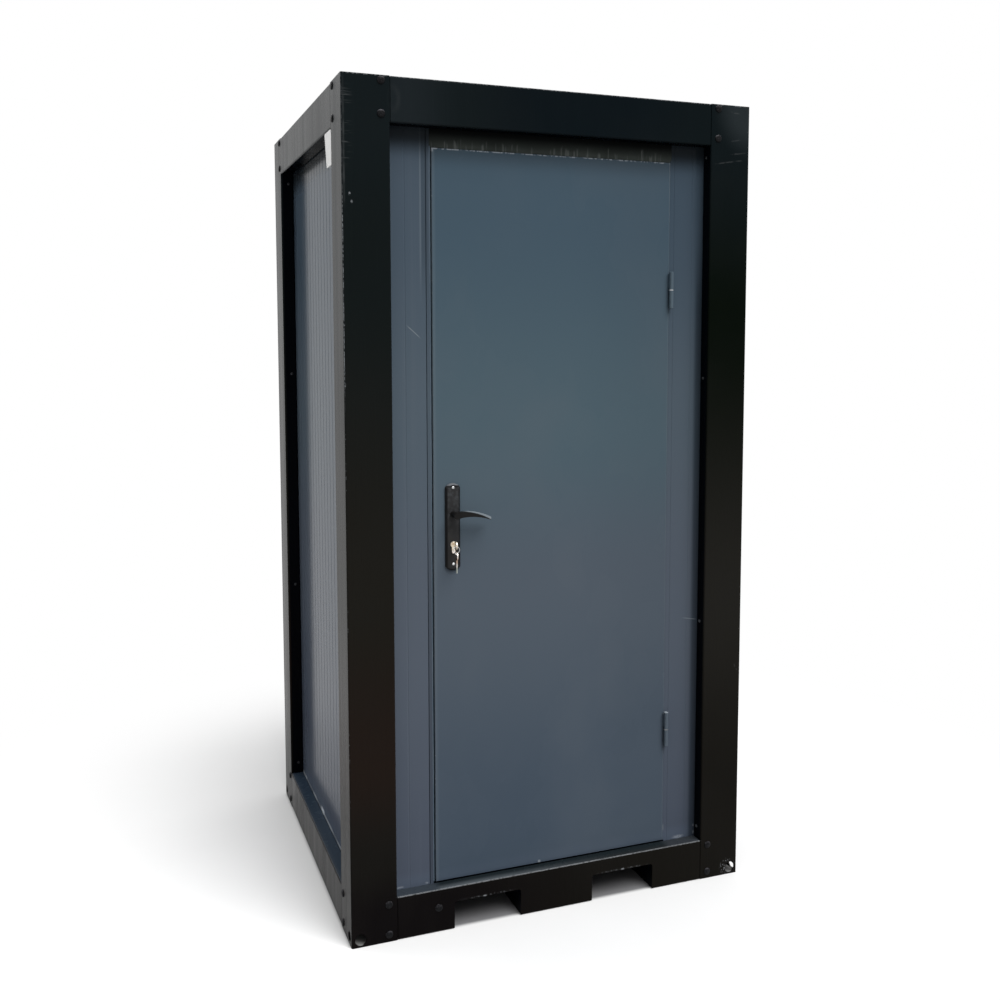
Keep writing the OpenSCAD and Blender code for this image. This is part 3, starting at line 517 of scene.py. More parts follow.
def door_wear(p, haze):
    """Worn edges of the leaf and a painted reflection on the lower hinge's top: bright places; then painted
    highlight lines along the leaf's two upright edges.
    """
    chip = p.noise(150, detail=4)
    outer = p.step(p.y, leaf_lo.y + 0.006, leaf_lo.y + 0.004)
    head_edge = p.times(p.near(p.z, leaf_hi.z - 0.0008, 0.0035), p.step(chip, 0.46, 0.58), outer)
    corner = p.times(p.near(p.z, leaf_hi.z, 0.013), p.near(p.x, leaf_lo.x, 0.006), outer)
    closing_edge = p.times(p.step(p.x, leaf_lo.x + 0.003, leaf_lo.x), p.step(chip, 0.64, 0.70))
    # Painted highlight: faint light lines along the hinge edge and the lock edge, stronger high up on the hinge
    # edge.
    hinge_edge_highlight = p.times(p.step(p.x, leaf_hi.x - 0.0040, leaf_hi.x - 0.0015), p.level(haze, 0.2, 0.9), outer)
    hinge_edge_highlight = p.times(hinge_edge_highlight, p.level(p.step(p.z, 1.90, 2.05), 1.0, 1.8))
    lock_edge_highlight = p.times(p.step(p.x, leaf_lo.x + 0.012, leaf_lo.x + 0.004), p.level(haze, 0.3, 0.7), outer)
    foot_nick = p.times(p.spot(p.x, p.z, (-0.040, leaf_lo.z), 0.006, 0.006), outer)
    # Painted reflection: upward faces before the leaf low down, the lower hinge's top, are painted light grey.
    before_leaf = p.step(p.y, leaf_lo.y, leaf_lo.y - 0.001)
    hinge_top_reflection = p.times(p.step(p.up, 0.40, 0.80), before_leaf, p.step(p.z, 1.0, 0.9))
    return p.most(head_edge, corner, closing_edge, foot_nick, hinge_top_reflection), p.most(hinge_edge_highlight, lock_edge_highlight)


def door_paint():
    """Blue-grey door coating with painted reflection and shade in its tones: thin bright lines where the head has
    worn, painted highlights along the upright edges, white inside.
    """
    p = Paint("door_paint")
    cloud = p.noise(1.5, detail=4)
    haze = p.noise(5.0, (1, 1, 0.6), detail=5)
    grain = p.noise(1400, detail=2)
    colour = height_tone(p, DOOR_TONES)
    colour = p.blend(p.times(p.step(cloud, 0.40, 0.68), 0.30), colour, (0.090, 0.110, 0.136))
    colour = p.blend(p.times(p.step(haze, 0.48, 0.75), 0.12), colour, (0.112, 0.128, 0.146))
    colour = p.blend(p.times(p.step(p.x, 0.0, 0.35), 0.10), colour, (0.020, 0.028, 0.036))
    # Painted shade: the leaf darkens towards its head, under the head strip.
    colour = p.blend(p.times(p.step(p.z, leaf_hi.z - 0.06, leaf_hi.z), 0.35), colour, (0.020, 0.022, 0.024))
    by_sill = p.step(p.z, leaf_lo.z + 0.040, leaf_lo.z)
    colour = p.blend(p.times(by_sill, 0.22), colour, (0.095, 0.120, 0.165))
    wear, faint = door_wear(p, haze)
    # Painted highlights along the leaf's upright edges.
    colour = p.blend(p.times(faint, 0.35), colour, (0.17, 0.20, 0.22))
    # Painted light: the leaf's lock-side edge face, which lies in the gap's shade, is painted paler higher up.
    lock_side = p.step(p.x, leaf_lo.x + 0.0007, leaf_lo.x + 0.0003)
    lock_side_light = p.times(lock_side, p.level(p.step(p.z, 0.5, 1.4), 0.0, 0.3))
    colour = p.blend(lock_side_light, colour, (0.26, 0.30, 0.34))
    # Worn places, and the painted reflection on the lower hinge's top.
    colour = p.blend(p.times(wear, 0.65), colour, (0.30, 0.33, 0.36))
    inside = p.step(p.y, leaf_hi.y - 0.0006, leaf_hi.y - 0.0003)
    colour = p.blend(inside, colour, lining_colour(p))
    rough = p.level(p.calc("ADD", p.times(cloud, 0.5), p.times(haze, 0.4)), 0.16, 0.42)
    height = p.calc("SUBTRACT", p.times(grain, 0.3), p.times(wear, 0.6))
    return p.finish(colour, rough, height, depth=0.0002, strength=0.2, ior=PANEL_IOR)


def head_paint():
    """Dark strip over the door, near black under the top rail, partly its dark coating and partly painted shade,
    greyer towards its foot, with upright rub marks that the leaf's edge has left and a white inside.
    """
    p = Paint("head_paint")
    cloud = p.noise(11, (1, 1, 0.6), detail=5)
    ticks = p.noise(110, (1, 1, 0.05), detail=3)
    reach = p.noise(60, (1, 1, 0.0), detail=1)
    grain = p.noise(1300, detail=2)
    climb = p.calc("SUBTRACT", p.z, head_lo.z + 0.010)
    low = p.step(p.calc("SUBTRACT", climb, p.times(reach, 0.045)), 0.005, -0.005)
    marks = p.times(p.step(ticks, 0.52, 0.66), low)
    # Painted shade: the strip stays near black under the rail and turns greyer only towards its foot.
    wear_and_painted_light = p.times(p.step(p.z, head_lo.z + 0.058, head_lo.z + 0.020), p.level(cloud, 0.35, 1.25))
    colour = p.blend(wear_and_painted_light, (0.0026, 0.0032, 0.0032), (0.0480, 0.0560, 0.0510))
    colour = p.blend(p.times(marks, 0.45), colour, (0.150, 0.162, 0.158))
    colour = p.blend(room_side(p), colour, lining_colour(p))
    rough = p.level(cloud, 0.3, 0.6)
    return p.finish(colour, rough, grain, depth=0.0002, strength=0.2, ior=FRAME_IOR)


def roof_paint():
    """Pale coated roof sheet with dust that rain has drawn along the ribs."""
    p = Paint("roof_paint")
    drift = p.noise(9, (1, 0.25, 1), detail=5)
    spots = p.noise(60, detail=4)
    grain = p.noise(1200, detail=2)
    colour = p.blend(p.times(p.step(drift, 0.4, 0.75), 0.6), (0.46, 0.47, 0.47), (0.27, 0.26, 0.24))
    colour = p.blend(p.times(p.step(spots, 0.58, 0.74), 0.25), colour, (0.20, 0.19, 0.17))
    rough = p.level(drift, 0.35, 0.75)
    return p.finish(colour, rough, p.calc("ADD", grain, spots), depth=0.0003, strength=0.3)


def lining_paint():
    """White trims in the room's corners."""
    p = Paint("lining_paint")
    grain = p.noise(1200, detail=2)
    rough = p.level(p.noise(8, detail=4), 0.35, 0.6)
    return p.finish(lining_colour(p), rough, grain, depth=0.0002, strength=0.2)


def floor_board():
    """Film-faced plywood: brown with a fine raised mesh and worn lighter tracks."""
    p = Paint("floor_board")
    wave_x = p.calc("SINE", p.times(p.x, 1600.0))
    wave_y = p.calc("SINE", p.times(p.y, 1600.0))
    mesh = p.most(wave_x, wave_y)
    veins = p.noise(24, (0.12, 1, 1), detail=6)
    plate_tone = p.step(p.noise(4, detail=5), 0.48, 0.72)
    colour = p.blend(p.step(veins, 0.35, 0.7), (0.050, 0.028, 0.016), (0.088, 0.052, 0.030))
    colour = p.blend(p.times(plate_tone, 0.55), colour, (0.145, 0.108, 0.076))
    rough = p.level(plate_tone, 0.35, 0.75)
    return p.finish(colour, rough, mesh, depth=0.0003, strength=0.4)


def zinc(name, colour, dull, washer=1.0):
    """Plated steel with a fine brushed grain and dull blooms; what stands right of the middle before the leaf is
    darker by a share, most low down.
    """
    p = Paint(name)
    bloom = p.noise(120, detail=4)
    brush = p.noise(900, (1, 1, 0.06), detail=2)
    tone = p.blend(p.step(bloom, 0.4, 0.7), colour, tuple(0.72 * c for c in colour))
    darkened = p.times(p.step(p.x, 0.0, 0.1), p.step(p.y, leaf_lo.y, leaf_lo.y - 0.001))
    below = p.level(p.step(p.z, 0.9, 1.2), 1.0 - 0.3 * washer, 1.0 - washer)
    tone = p.blend(p.times(darkened, below), tone, (0.10, 0.11, 0.12))
    rough = p.level(p.calc("ADD", p.times(bloom, 0.6), p.times(brush, 0.4)), dull, dull + 0.3)
    return p.finish(tone, rough, brush, depth=0.00008, strength=0.4, metal=1.0)


# The levers' curve: the rise from the spindle and the drop of the tip
LEVER_RISE = 0.0055
LEVER_DROP = 0.0125


def grip_light(p):
    """Painted highlight: 1 on the upper edge of a lever, spreading over its face towards the tip."""
    spindle_x = (spindle_lo.x + spindle_hi.x) / 2
    spindle_z = (spindle_lo.z + spindle_hi.z) / 2
    travelled = p.calc("DIVIDE", p.calc("SUBTRACT", p.x, spindle_x), lever_hi.x - spindle_x)
    share = p.most(travelled, 0.0)
    left_over = p.most(p.calc("SUBTRACT", 1.0, share), 0.0)
    rise = p.level(p.calc("POWER", left_over, 6.0), LEVER_RISE, 0.0)
    fall = p.times(p.calc("POWER", share, 2.5), LEVER_RISE + LEVER_DROP)
    above = p.calc("SUBTRACT", p.calc("SUBTRACT", p.z, spindle_z), p.calc("SUBTRACT", rise, fall))
    shade_line = p.level(share, 0.0105, -0.0028)
    return p.times(p.step(p.calc("SUBTRACT", above, shade_line), -0.001, 0.001), p.step(share, 0.12, 0.36))


def handle_coat():
    """Satin black coating of the handle set, lighter on the plates' upper half, with painted shade along the plates'
    edges and painted highlights along the grip and the plates' upper rims.
    """
    p = Paint("handle_coat")
    cloud = p.noise(60, detail=4)
    grain = p.noise(2600, detail=2)
    from_leaf = p.calc("ABSOLUTE", p.calc("SUBTRACT", p.y, LEAF_MID))
    aside = p.calc("ABSOLUTE", p.calc("SUBTRACT", p.x, PLATE_MID))
    half = (plate_hi.x - plate_lo.x) / 2
    on_plate = p.step(from_leaf, PLATE_RIM + 0.0016, PLATE_RIM + 0.0006)
    upper = p.step(p.z, plate_lo.z + 0.05, plate_hi.z - 0.03)
    plate_tone = p.blend(upper, (0.0230, 0.0210, 0.0200), (0.052, 0.056, 0.060))
    colour = p.blend(p.step(cloud, 0.4, 0.7), (0.0240, 0.0240, 0.0250), plate_tone)
    # Painted shade: dark lines along the plates' long edges, under the top rim and at the foot.
    plate_edge_shade = p.most(
        p.step(aside, half - 0.0070, half - 0.0040),
        p.near(p.z, plate_hi.z - 0.0085, 0.0035),
        p.step(p.z, plate_lo.z + 0.010, plate_lo.z + 0.004),
    )
    colour = p.blend(p.times(plate_edge_shade, on_plate, 0.8), colour, (0.0050, 0.0050, 0.0055))
    # Painted highlight along the plates' upper rims.
    rim = p.times(on_plate, p.step(p.z, plate_hi.z - 0.0070, plate_hi.z - 0.0045), p.step(p.up, 0.25, 0.50))
    colour = p.blend(p.times(rim, 0.35), colour, (0.25, 0.27, 0.30))
    off_plate = p.calc("SUBTRACT", 1.0, on_plate)
    colour = p.blend(p.times(off_plate, 0.90), colour, (0.0050, 0.0046, 0.0042))
    # Painted highlight along the levers' upper edges.
    colour = p.blend(p.times(off_plate, grip_light(p), 0.85), colour, (0.230, 0.265, 0.295))
    rough = p.level(cloud, 0.26, 0.48)
    return p.finish(colour, rough, grain, depth=0.00006, strength=0.4, ior=1.2)


def brass():
    """Nickel-brass of the keys and the lock: cream where it is bright, coppery and green where it has tarnished."""
    p = Paint("brass")
    blotch = p.noise(260, detail=4)
    brush = p.noise(1500, (1, 1, 0.1), detail=2)
    tone = p.blend(p.step(blotch, 0.46, 0.68), (0.88, 0.82, 0.70), (0.62, 0.48, 0.36))
    drop = spare_hi.z - spare_lo.z
    shank = p.blend(p.step(blotch, 0.46, 0.68), (0.86, 0.80, 0.76), (0.66, 0.58, 0.54))
    neck = p.near(p.z, spare_lo.z + 0.58 * drop, 0.20 * drop)
    shank = p.blend(p.times(neck, 0.8), shank, (0.60, 0.40, 0.28))
    foot = p.step(p.z, spare_lo.z + 0.32 * drop, spare_lo.z + 0.22 * drop)
    shank = p.blend(p.times(foot, 0.8), shank, (0.34, 0.39, 0.34))
    tone = p.blend(p.step(p.z, spare_hi.z, spare_hi.z - 0.002), tone, shank)
    rough = p.level(p.calc("ADD", p.times(blotch, 0.5), p.times(brush, 0.5)), 0.22, 0.5)
    return p.finish(tone, rough, brush, depth=0.00005, strength=0.4, metal=1.0)


def white_plastic():
    """White moulded box, with a fine grain and a trace of dust on top."""
    p = Paint("white_plastic")
    grain = p.noise(1700, detail=2)
    stain = p.noise(45, (1, 1, 0.3), detail=5)
    dust = p.times(p.step(p.up, 0.3, 0.9), 0.5)
    colour = p.blend(p.times(p.step(stain, 0.5, 0.8), 0.25), (0.84, 0.84, 0.83), (0.66, 0.66, 0.63))
    colour = p.blend(dust, colour, (0.40, 0.39, 0.36))
    rough = p.level(stain, 0.35, 0.6)
    return p.finish(colour, rough, grain, depth=0.0001, strength=0.3)


def bolt_coat():
    """Blackened bolt heads, with a painted highlight on the upper side of the crown, stronger on the higher bolts.
    """
    p = Paint("bolt_coat")
    bloom = p.noise(210, detail=4)
    # Painted highlight on the crown's upward faces.
    crown = p.times(p.step(p.up, 0.16, 0.48), p.step(bloom, 0.38, 0.60))
    upper = p.level(p.step(p.z, LEDGE, LEDGE + 1.0), 0.35, 0.9)
    colour = p.blend(p.step(bloom, 0.42, 0.66), (0.0050, 0.0052, 0.0060), (0.0130, 0.0130, 0.0145))
    colour = p.blend(p.times(crown, upper), colour, (0.085, 0.083, 0.094))
    rough = p.level(bloom, 0.28, 0.55)
    return p.finish(colour, rough, bloom, depth=0.0002, strength=0.3, ior=1.15)


def rubber():
    """Black sealing rubber with a chalky bloom."""
    p = Paint("rubber")
    bloom = p.noise(80, (1, 1, 0.4), detail=5)
    grain = p.noise(1800, detail=2)
    colour = p.blend(p.step(bloom, 0.45, 0.75), (0.010, 0.010, 0.010), (0.034, 0.034, 0.033))
    return p.finish(colour, p.level(bloom, 0.5, 0.8), grain, depth=0.0001, strength=0.4)


def seal_grey():
    """Blue-grey sealing strip with a paler bloom."""
    p = Paint("seal_grey")
    bloom = p.noise(60, (1, 1, 0.2), detail=5)
    grain = p.noise(1800, detail=2)
    colour = p.blend(p.step(bloom, 0.40, 0.75), (0.070, 0.110, 0.150), (0.110, 0.150, 0.190))
    return p.finish(colour, p.level(bloom, 0.5, 0.8), grain, depth=0.0001, strength=0.3)


FINISHES = {
    "frame": frame_paint(),
    "panel": panel_paint(),
    "head": head_paint(),
    "door": door_paint(),
    "roof": roof_paint(),
    "lining": lining_paint(),
    "floor": floor_board(),
    "bare_steel": zinc("bare_steel", (0.66, 0.67, 0.68), 0.22, 0.75),
    "handle": handle_coat(),
    "brass": brass(),
    "white_box": white_plastic(),
}
BOLT = bolt_coat()
SCREW = zinc("screw_steel", (0.78, 0.79, 0.80), 0.16)
DARK_SCREW = zinc("dark_screw", (0.05, 0.052, 0.056), 0.38)
RUBBER = rubber()
SEAL_GREY = seal_grey()

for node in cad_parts.values():
    for place in node.material_slots:
        place.material = FINISHES[place.material.name]


class Pieces:
    """Collects repeated small meshes into one piece."""

    def __init__(self, name):
        self.name = name
        self.points = []
        self.faces = []

    def take(self, points, faces, placing):
        """Adds a mesh at its place."""
        start = len(self.points)
        self.points += [placing @ Vector(point) for point in points]
        self.faces += [[start + corner for corner in face] for face in faces]

    def make(self, body, material):
        """Makes the piece, smooth but for its sharp edges, and lets it ride on a body."""
        mesh = bpy.data.meshes.new(self.name)
        mesh.from_pydata(self.points, [], self.faces)
        mesh.validate()
        shape = bmesh.new()
        shape.from_mesh(mesh)
        bmesh.ops.recalc_face_normals(shape, faces=shape.faces)
        shape.to_mesh(mesh)
        shape.free()
        mesh.shade_smooth()
        mesh.set_sharp_from_angle(angle=math.radians(38))
        mesh.materials.append(material)
        piece = bpy.data.objects.new(self.name, mesh)
        bpy.context.scene.collection.objects.link(piece)
        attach(piece, body)
        return piece


def facing(point, normal, turn=0.0):
    """Puts a shape made on the XY plane at a point, with its Z axis along the normal."""
    lean = Vector(normal).to_track_quat("Z", "Y").to_matrix().to_4x4()
    return Matrix.Translation(Vector(point)) @ lean @ Matrix.Rotation(turn, 4, "Z")


def turned(profile, segments):
    """Points and faces of a profile of (radius, height) pairs turned about Z, the last pair on the axis."""
    rings = profile[:-1]
    points = []
    for radius, height in rings:
        for step in range(segments):
            angle = math.tau * step / segments
            points.append((radius * math.cos(angle), radius * math.sin(angle), height))
    points.append((0.0, 0.0, profile[-1][1]))
    faces = []
    for ring in range(len(rings) - 1):
        for step in range(segments):
            a = ring * segments + step
            b = ring * segments + (step + 1) % segments
            faces.append((a, b, b + segments, a + segments))
    last = (len(rings) - 1) * segments
    for step in range(segments):
        faces.append((last + step, last + (step + 1) % segments, len(points) - 1))
    faces.append(tuple(reversed(range(segments))))
    return points, faces


def dome(radius, height, rings=7):
    """Profile of a round head: a short upright rim, then a crown."""
    rim = 0.25 * height
    profile = [(radius, 0.0), (radius, rim)]
    for ring in range(1, rings):
        angle = math.pi / 2 * ring / rings
        profile.append((radius * math.cos(angle), rim + (height - rim) * math.sin(angle)))
    return profile + [(0.0, height)]


def cross_head(radius, height, slot=0.22, sunk=0.6):
    """A round screw head with a sunk cross: the crown's points inside the cross drop by a share of the height."""
    points, faces = turned(dome(radius, height, 9), 40)
    shaped = []
    for x, y, z in points:
        reach = max(abs(x), abs(y))
        in_cross = min(abs(x), abs(y)) < slot * radius and reach < 0.62 * radius
        shaped.append((x, y, z - sunk * height if in_cross else z))
    return shaped, faces


# Bolts that hold the rails' tongues to the posts
BOLT_IN = 0.104
BOLT_R = 0.0105
BOLT_H = 0.0042
BOLT_LEVELS = (TOP - 0.0125, TOP - 0.096, LEDGE - 0.016, 0.021)


def frame_bolts():
    """Round bolt heads on both faces of each corner, each turned a little."""
    draw = random.Random(5)
    bolts = Pieces("frame_bolts")
    head = turned(dome(BOLT_R, BOLT_H), 28)
    for side in (-1, 1):
        for end in (-1, 1):
            for level in BOLT_LEVELS:
                on_front = (side * (HALF_W - BOLT_IN), end * HALF_D, level)
                on_side = (side * HALF_W, end * (HALF_D - BOLT_IN), level)
                bolts.take(*head, facing(on_front, (0, end, 0), draw.uniform(0, 1)))
                bolts.take(*head, facing(on_side, (side, 0, 0), draw.uniform(0, 1)))
    bolts.make("cabin", BOLT)


# Screws that fix the panels through the posts' lips, spread about the middle of the height
SCREW_SPREAD = (-0.998, -0.363, 0.363, 0.998)
SCREW_MID = (TOP + 0.008) / 2
SCREW_IN = 0.026
# Radius and height of the screws' heads, and how far from the ends of what they hold they sit
REVEAL_HEAD = (0.0048, 0.0022)
HANDLE_HEAD = (0.0038, 0.0016)
LOCK_HEAD = (0.0045, 0.0006)
HANDLE_SCREW_TOP = 0.011
HANDLE_SCREW_FOOT = 0.019
LOCK_SCREW_IN = 0.010
ROOF_SCREW_IN = 0.04
# Place of the round plug in the front bottom rail, left of the pockets, and its profile of radius and height
PLUG_AT = (-0.355, -HALF_D, 0.069)
PLUG = ((0.0105, 0.0), (0.0105, 0.0012), (0.0094, 0.0020), (0.0078, 0.0021), (0.0070, 0.0034), (0.0, 0.0040))
ROOF_SCREW = ((0.0080, 0.0), (0.0080, 0.0008), (0.0046, 0.0012), (0.0044, 0.0036), (0.0, 0.0042))


def reveal_screws():
    """Dark screws in the posts' lips, on both faces of each corner."""
    screws = Pieces("reveal_screws")
    head = cross_head(*REVEAL_HEAD)
    for side in (-1, 1):
        for end in (-1, 1):
            for spread in SCREW_SPREAD:
                level = SCREW_MID + spread
                in_front = (side * LIP_X, end * (HALF_D - SCREW_IN), level)
                in_side = (side * (HALF_W - SCREW_IN), end * (HALF_D - POST_W), level)
                screws.take(*head, facing(in_front, (-side, 0, 0)))
                screws.take(*head, facing(in_side, (0, -end, 0)))
    screws.make("cabin", DARK_SCREW)


def rail_plug():
    plug = Pieces("rail_plug")
    plug.take(*turned(PLUG, 32), facing(PLUG_AT, (0, -1, 0)))
    plug.make("cabin", BOLT)


def handle_screws():
    """A bright screw near both ends of each handle plate."""
    screws = Pieces("handle_screws")
    head = cross_head(*HANDLE_HEAD)
    for level in (plate_hi.z - HANDLE_SCREW_TOP, plate_lo.z + HANDLE_SCREW_FOOT):
        screws.take(*head, facing((PLATE_MID, plate_lo.y, level), (0, -1, 0), 0.4))
        screws.take(*head, facing((PLATE_MID, back_plate_hi.y, level), (0, 1, 0), 1.1))
    screws.make("door", SCREW)


def lock_screws():
    """Countersunk screws of the lock's front and of its strike plate."""
    front = Pieces("faceplate_screws")
    strike = Pieces("strike_screws")
    head = cross_head(*LOCK_HEAD)
    middle = (faceplate_lo.y + faceplate_hi.y) / 2
    for level in (faceplate_lo.z + LOCK_SCREW_IN, faceplate_hi.z - LOCK_SCREW_IN):
        front.take(*head, facing((faceplate_lo.x, middle, level), (-1, 0, 0), 0.3))
    for level in (strike_lo.z + LOCK_SCREW_IN, strike_hi.z - LOCK_SCREW_IN):
        strike.take(*head, facing((strike_hi.x, middle, level), (1, 0, 0), 0.9))
    front.make("door", SCREW)
    strike.make("cabin", SCREW)


def roof_screws():
    """Roof screws with washers on the ribs' crowns, near both ends of each rib and in its middle."""
    screws = Pieces("roof_screws")
    head = turned(ROOF_SCREW, 24)
    for x in rib_places():
        for y in (roof_lo.y + ROOF_SCREW_IN, 0.0, roof_hi.y - ROOF_SCREW_IN):
            screws.take(*head, facing((x, y, roof_hi.z), (0, 0, 1)))
    screws.make("cabin", SCREW)


def rib_places():
    """Where the roof's ribs stand, from the highest points of its mesh."""
    points = [vertex.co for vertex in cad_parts["roof_panel"].data.vertices]
    edges = sorted({round(point.x, 4) for point in points if point.z > roof_hi.z - HAIR})
    return [(a + b) / 2 for a, b in zip(edges[0::2], edges[1::2])]


# Rubber seal on the stops behind the leaf's edges, and how far the stops lap the leaf
SEAL_W = 0.009
SEAL_T = 0.0042
STOP_LAP = 0.013
# Strips in the gaps round the leaf: their width, how deep those on the jambs sit, and the share of the gap they fill
BULB_W = 0.005
BULB_SINK = 0.0025
HINGE_SINK = 0.0015
LOCK_SHARE = 0.65
FOOT_SHARE = 0.75
HEAD_SHARE = 0.85
HINGE_SHARE = 0.90
CHAMFER_SHARE = 0.12
# Joint between the hinge jamb and its panel, and how much of its width the bead fills
JOINT_W = 0.002
JOINT_D = 0.0049
JOINT_FIT = 0.98
# Width of the small bevel on the leaf's edges
LEAF_EDGE = 0.0008


def half_round(width, height):
    """Half-oval section of a seal: x across its foot, y away from it."""
    arc = [math.pi * step / 10 for step in range(11)]
    return [(width / 2 * math.cos(a), height * math.sin(a)) for a in arc]


def lay(pieces, profile, start, end, out):
    """Adds a straight length of a section from start to end, its foot on the carrier and its round along out."""
    way = (Vector(end) - Vector(start)).normalized()
    across = way.cross(Vector(out))
    count = len(profile)
    points = [Vector(place) + across * u + Vector(out) * v for place in (start, end) for u, v in profile]
    faces = [(i, (i + 1) % count, count + (i + 1) % count, count + i) for i in range(count)]
    faces.append(tuple(range(count)))
    faces.append(tuple(range(count, 2 * count)))
    pieces.take(points, faces, Matrix.Identity(4))


def door_seal():
    """Rubber seal on the stops, all round behind the leaf."""
    seal = Pieces("door_seal")
    profile = half_round(SEAL_W, SEAL_T)
    stop_y = leaf_hi.y + STOP_GAP
    inset = STOP_LAP / 2
    left = leaf_lo.x + inset
    right = leaf_hi.x - inset
    foot = leaf_lo.z + inset
    head = leaf_hi.z - inset
    half = SEAL_W / 2
    for x in (left, right):
        lay(seal, profile, (x, stop_y, foot - half), (x, stop_y, head + half), (0, -1, 0))
    for z in (foot, head):
        lay(seal, profile, (left + half, stop_y, z), (right - half, stop_y, z), (0, -1, 0))
    seal.make("cabin", RUBBER)


def flat_bead(width, height):
    """Flat-topped section of a filler, with small chamfers."""
    half = width / 2
    chamfer = CHAMFER_SHARE * width
    return [(half, 0.0), (half, height - chamfer), (half - chamfer, height),
            (chamfer - half, height), (-half, height - chamfer), (-half, 0.0)]


def jamb_seals():
    """Seals on the jambs' edges: a grey one sunk in the lock gap, beads in the hinge gap and the jamb's joint."""
    lock = Pieces("lock_seal")
    section = flat_bead(BULB_W, LOCK_SHARE * DOOR_GAP)
    sunk = panel_lo.y + BULB_SINK + BULB_W / 2
    lay(lock, section, (head_lo.x, sunk, OPENING_FOOT), (head_lo.x, sunk, OPENING_HEAD), (1, 0, 0))
    lock.make("cabin", SEAL_GREY)
    beads = Pieces("hinge_beads")
    section = flat_bead(BULB_W, HINGE_SHARE * DOOR_GAP)
    flush = panel_lo.y + HINGE_SINK
    lay(beads, section, (head_hi.x, flush, OPENING_FOOT), (head_hi.x, flush, OPENING_HEAD), (-1, 0, 0))
    joint = hinge_jamb_hi.x - JOINT_W / 2
    bed = panel_lo.y + JOINT_D
    section = flat_bead(JOINT_FIT * JOINT_W, JOINT_D - HAIR)
    lay(beads, section, (joint, bed, hinge_jamb_lo.z + HAIR), (joint, bed, hinge_jamb_hi.z - HAIR), (0, -1, 0))
    beads.make("cabin", FINISHES["panel"])


def head_seal():
    """Flat seal under the strip over the door, flush with it."""
    seal = Pieces("head_seal")
    section = flat_bead(BULB_W, HEAD_SHARE * DOOR_GAP)
    flush = head_lo.y + BULB_W / 2
    left = head_lo.x + LOCK_SHARE * DOOR_GAP
    right = head_hi.x - HINGE_SHARE * DOOR_GAP
    lay(seal, section, (left, flush, OPENING_HEAD), (right, flush, OPENING_HEAD), (0, 0, -1))
    seal.make("cabin", FINISHES["head"])


def foot_sweep():
    """Sweep strip under the leaf's foot, flush with its face."""
    sweep = Pieces("foot_sweep")
    section = flat_bead(BULB_W, FOOT_SHARE * DOOR_GAP + LEAF_EDGE)
    flush = leaf_lo.y + BULB_W / 2 + HAIR
    top = leaf_lo.z + LEAF_EDGE
    lay(sweep, section, (leaf_lo.x + LEAF_EDGE, flush, top), (leaf_hi.x - LEAF_EDGE, flush, top), (0, 0, -1))
    sweep.make("door", FINISHES["door"])


frame_bolts()
reveal_screws()
rail_plug()
handle_screws()
lock_screws()
roof_screws()
door_seal()
jamb_seals()
head_seal()
foot_sweep()


# Points closer than this count as one, and edges sharper than this many degrees get a bevel
WELD_REACH = 0.00002
BEVEL_FROM = 35


def soften(names, width):
    """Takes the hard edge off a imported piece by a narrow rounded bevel."""
    for name in names:
        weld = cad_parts[name].modifiers.new("weld", "WELD")
        weld.merge_threshold = WELD_REACH
        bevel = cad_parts[name].modifiers.new("bevel", "BEVEL")
        bevel.width = width
        bevel.segments = 2
        bevel.limit_method = "ANGLE"
        bevel.angle_limit = math.radians(BEVEL_FROM)


soften(["door_leaf", "head_panel", "door_sill", "roof_panel", "floor_deck"], LEAF_EDGE)


# Studio: a pale floor just under the cabin, white all round, soft light from above the front
FLOOR_HALF = 30.0
FLOOR_DROP = 0.0005
SKY_FOOT = 0.14
SKY_TOP = 0.80
LAMP_AWAY = 6.0
# Lamps: name, the direction each shines from, strength and spread in degrees
LAMPS = (
    ("key", (0.30, -0.62, 1.00), 3.3, 40),
    ("fill", (-0.60, 0.80, 0.75), 1.1, 60),
)


def floor_finish():
    """Pale floor that keeps the shadow near the cabin, painted dark grey as painted shade under the cabin's
    footprint, and fades to white for what looks at it from afar.
    """
    p = Paint("studio_floor")
    looked = p.looked_at()
    mottle = p.noise(3.0, detail=4)
    pale = p.blend(mottle, (0.74, 0.74, 0.74), (0.78, 0.78, 0.78))
    # Painted shade: the floor is dark grey under the cabin's footprint.
    under_cabin_shade = p.times(
        p.between(p.x, -HALF_W, HALF_W, 0.010),
        p.between(p.y, -HALF_D + 0.010, HALF_D - 0.010, 0.010),
    )
    pale = p.blend(under_cabin_shade, pale, (0.16, 0.16, 0.165))
    p.finish(p.blend(looked, (0.30, 0.30, 0.30), pale), 0.9)
    white = p.add("ShaderNodeEmission")
    radius = p.calc("SQRT", p.calc("ADD", p.times(p.x, p.x), p.times(p.y, p.y)))
    share = p.times(looked, p.step(radius, 0.8, 2.2))
    mixed = p.add("ShaderNodeMixShader", share, p.shader.outputs[0], white.outputs[0])
    p.put(p.tree.nodes["Material Output"].inputs["Surface"], mixed.outputs[0])
    return p.material


def make_floor():
    corners = [(x * FLOOR_HALF, y * FLOOR_HALF, 0.0) for x, y in ((-1, -1), (1, -1), (1, 1), (-1, 1))]
    mesh = bpy.data.meshes.new("studio_floor")
    mesh.from_pydata(corners, [], [(0, 1, 2, 3)])
    mesh.materials.append(floor_finish())
    floor = bpy.data.objects.new("studio_floor", mesh)
    floor.location.z = -FLOOR_DROP
    bpy.context.scene.collection.objects.link(floor)


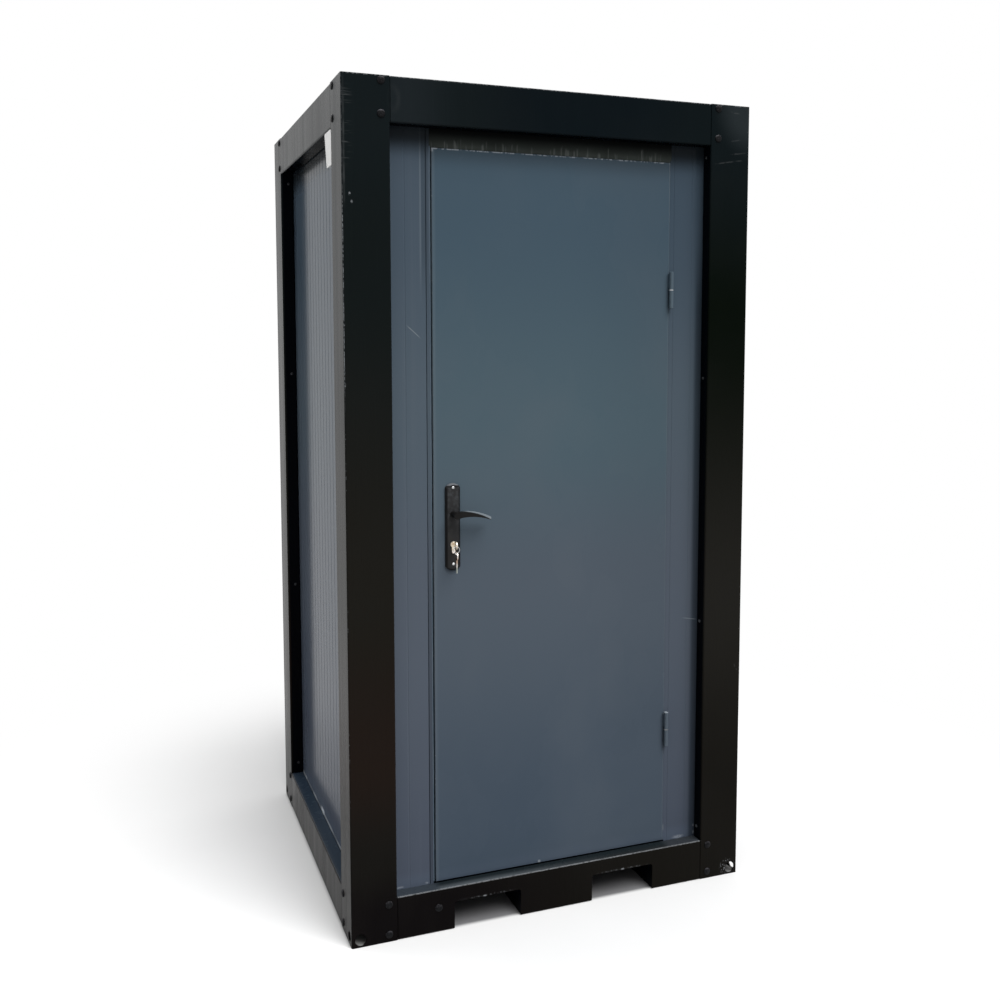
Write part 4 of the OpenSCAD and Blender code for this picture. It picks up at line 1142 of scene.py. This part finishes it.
def make_world():
    """White for what is looked at; for the light it gives, brighter overhead than at the horizon."""
    world = bpy.data.worlds.new("studio")
    world.use_nodes = True
    bpy.context.scene.world = world
    n = Nodes(world.node_tree)
    towards = n.add("ShaderNodeTexCoord").outputs["Generated"]
    height = n.add("ShaderNodeSeparateXYZ", towards).outputs[2]
    glow = n.level(n.step(height, 0.0, 0.9), SKY_FOOT, SKY_TOP)
    soft = n.tree.nodes["Background"]
    n.put(soft.inputs["Color"], (1.0, 1.0, 1.0))
    n.put(soft.inputs["Strength"], glow)
    white = n.add("ShaderNodeBackground", (1.0, 1.0, 1.0), 1.0)
    mixed = n.add("ShaderNodeMixShader", n.looked_at(), soft.outputs[0], white.outputs[0])
    n.put(n.tree.nodes["World Output"].inputs["Surface"], mixed.outputs[0])


def make_lamp(name, towards, strength, spread):
    """A soft distant lamp that shines from a direction, spread over an angle in degrees."""
    lamp = bpy.data.lights.new(name, "SUN")
    lamp.energy = strength
    lamp.angle = math.radians(spread)
    holder = bpy.data.objects.new(name, lamp)
    holder.location = LAMP_AWAY * Vector(towards).normalized()
    holder.rotation_euler = Vector(towards).to_track_quat("Z", "Y").to_euler()
    bpy.context.scene.collection.objects.link(holder)


def make_studio():
    make_floor()
    make_world()
    for lamp in LAMPS:
        make_lamp(*lamp)


# Camera fitted to the frame's corners: place in metres, angles in degrees, focal length and centre in pixels
CAMERA_AT = (-1.1889, -3.2365, 1.6241)
CAMERA_YAW = 20.367
CAMERA_PITCH = -4.816
CAMERA_ROLL = -0.082
FOCAL_PX = 1067.3
CENTRE_PX = (495.7, 431.8)
PICTURE_PX = 1000.0
SENSOR_MM = 36.0


def make_camera():
    lens = bpy.data.cameras.new("camera")
    lens.sensor_width = SENSOR_MM
    lens.lens = SENSOR_MM * FOCAL_PX / PICTURE_PX
    lens.shift_x = 0.5 - CENTRE_PX[0] / PICTURE_PX
    lens.shift_y = CENTRE_PX[1] / PICTURE_PX - 0.5
    camera = bpy.data.objects.new("camera", lens)
    heading = Matrix.Rotation(math.radians(-CAMERA_YAW), 4, "Z")
    tilt = Matrix.Rotation(math.radians(90 + CAMERA_PITCH), 4, "X")
    roll = Matrix.Rotation(math.radians(CAMERA_ROLL), 4, "Z")
    camera.matrix_world = Matrix.Translation(CAMERA_AT) @ heading @ tilt @ roll
    bpy.context.scene.collection.objects.link(camera)
    bpy.context.scene.camera = camera


make_studio()
make_camera()
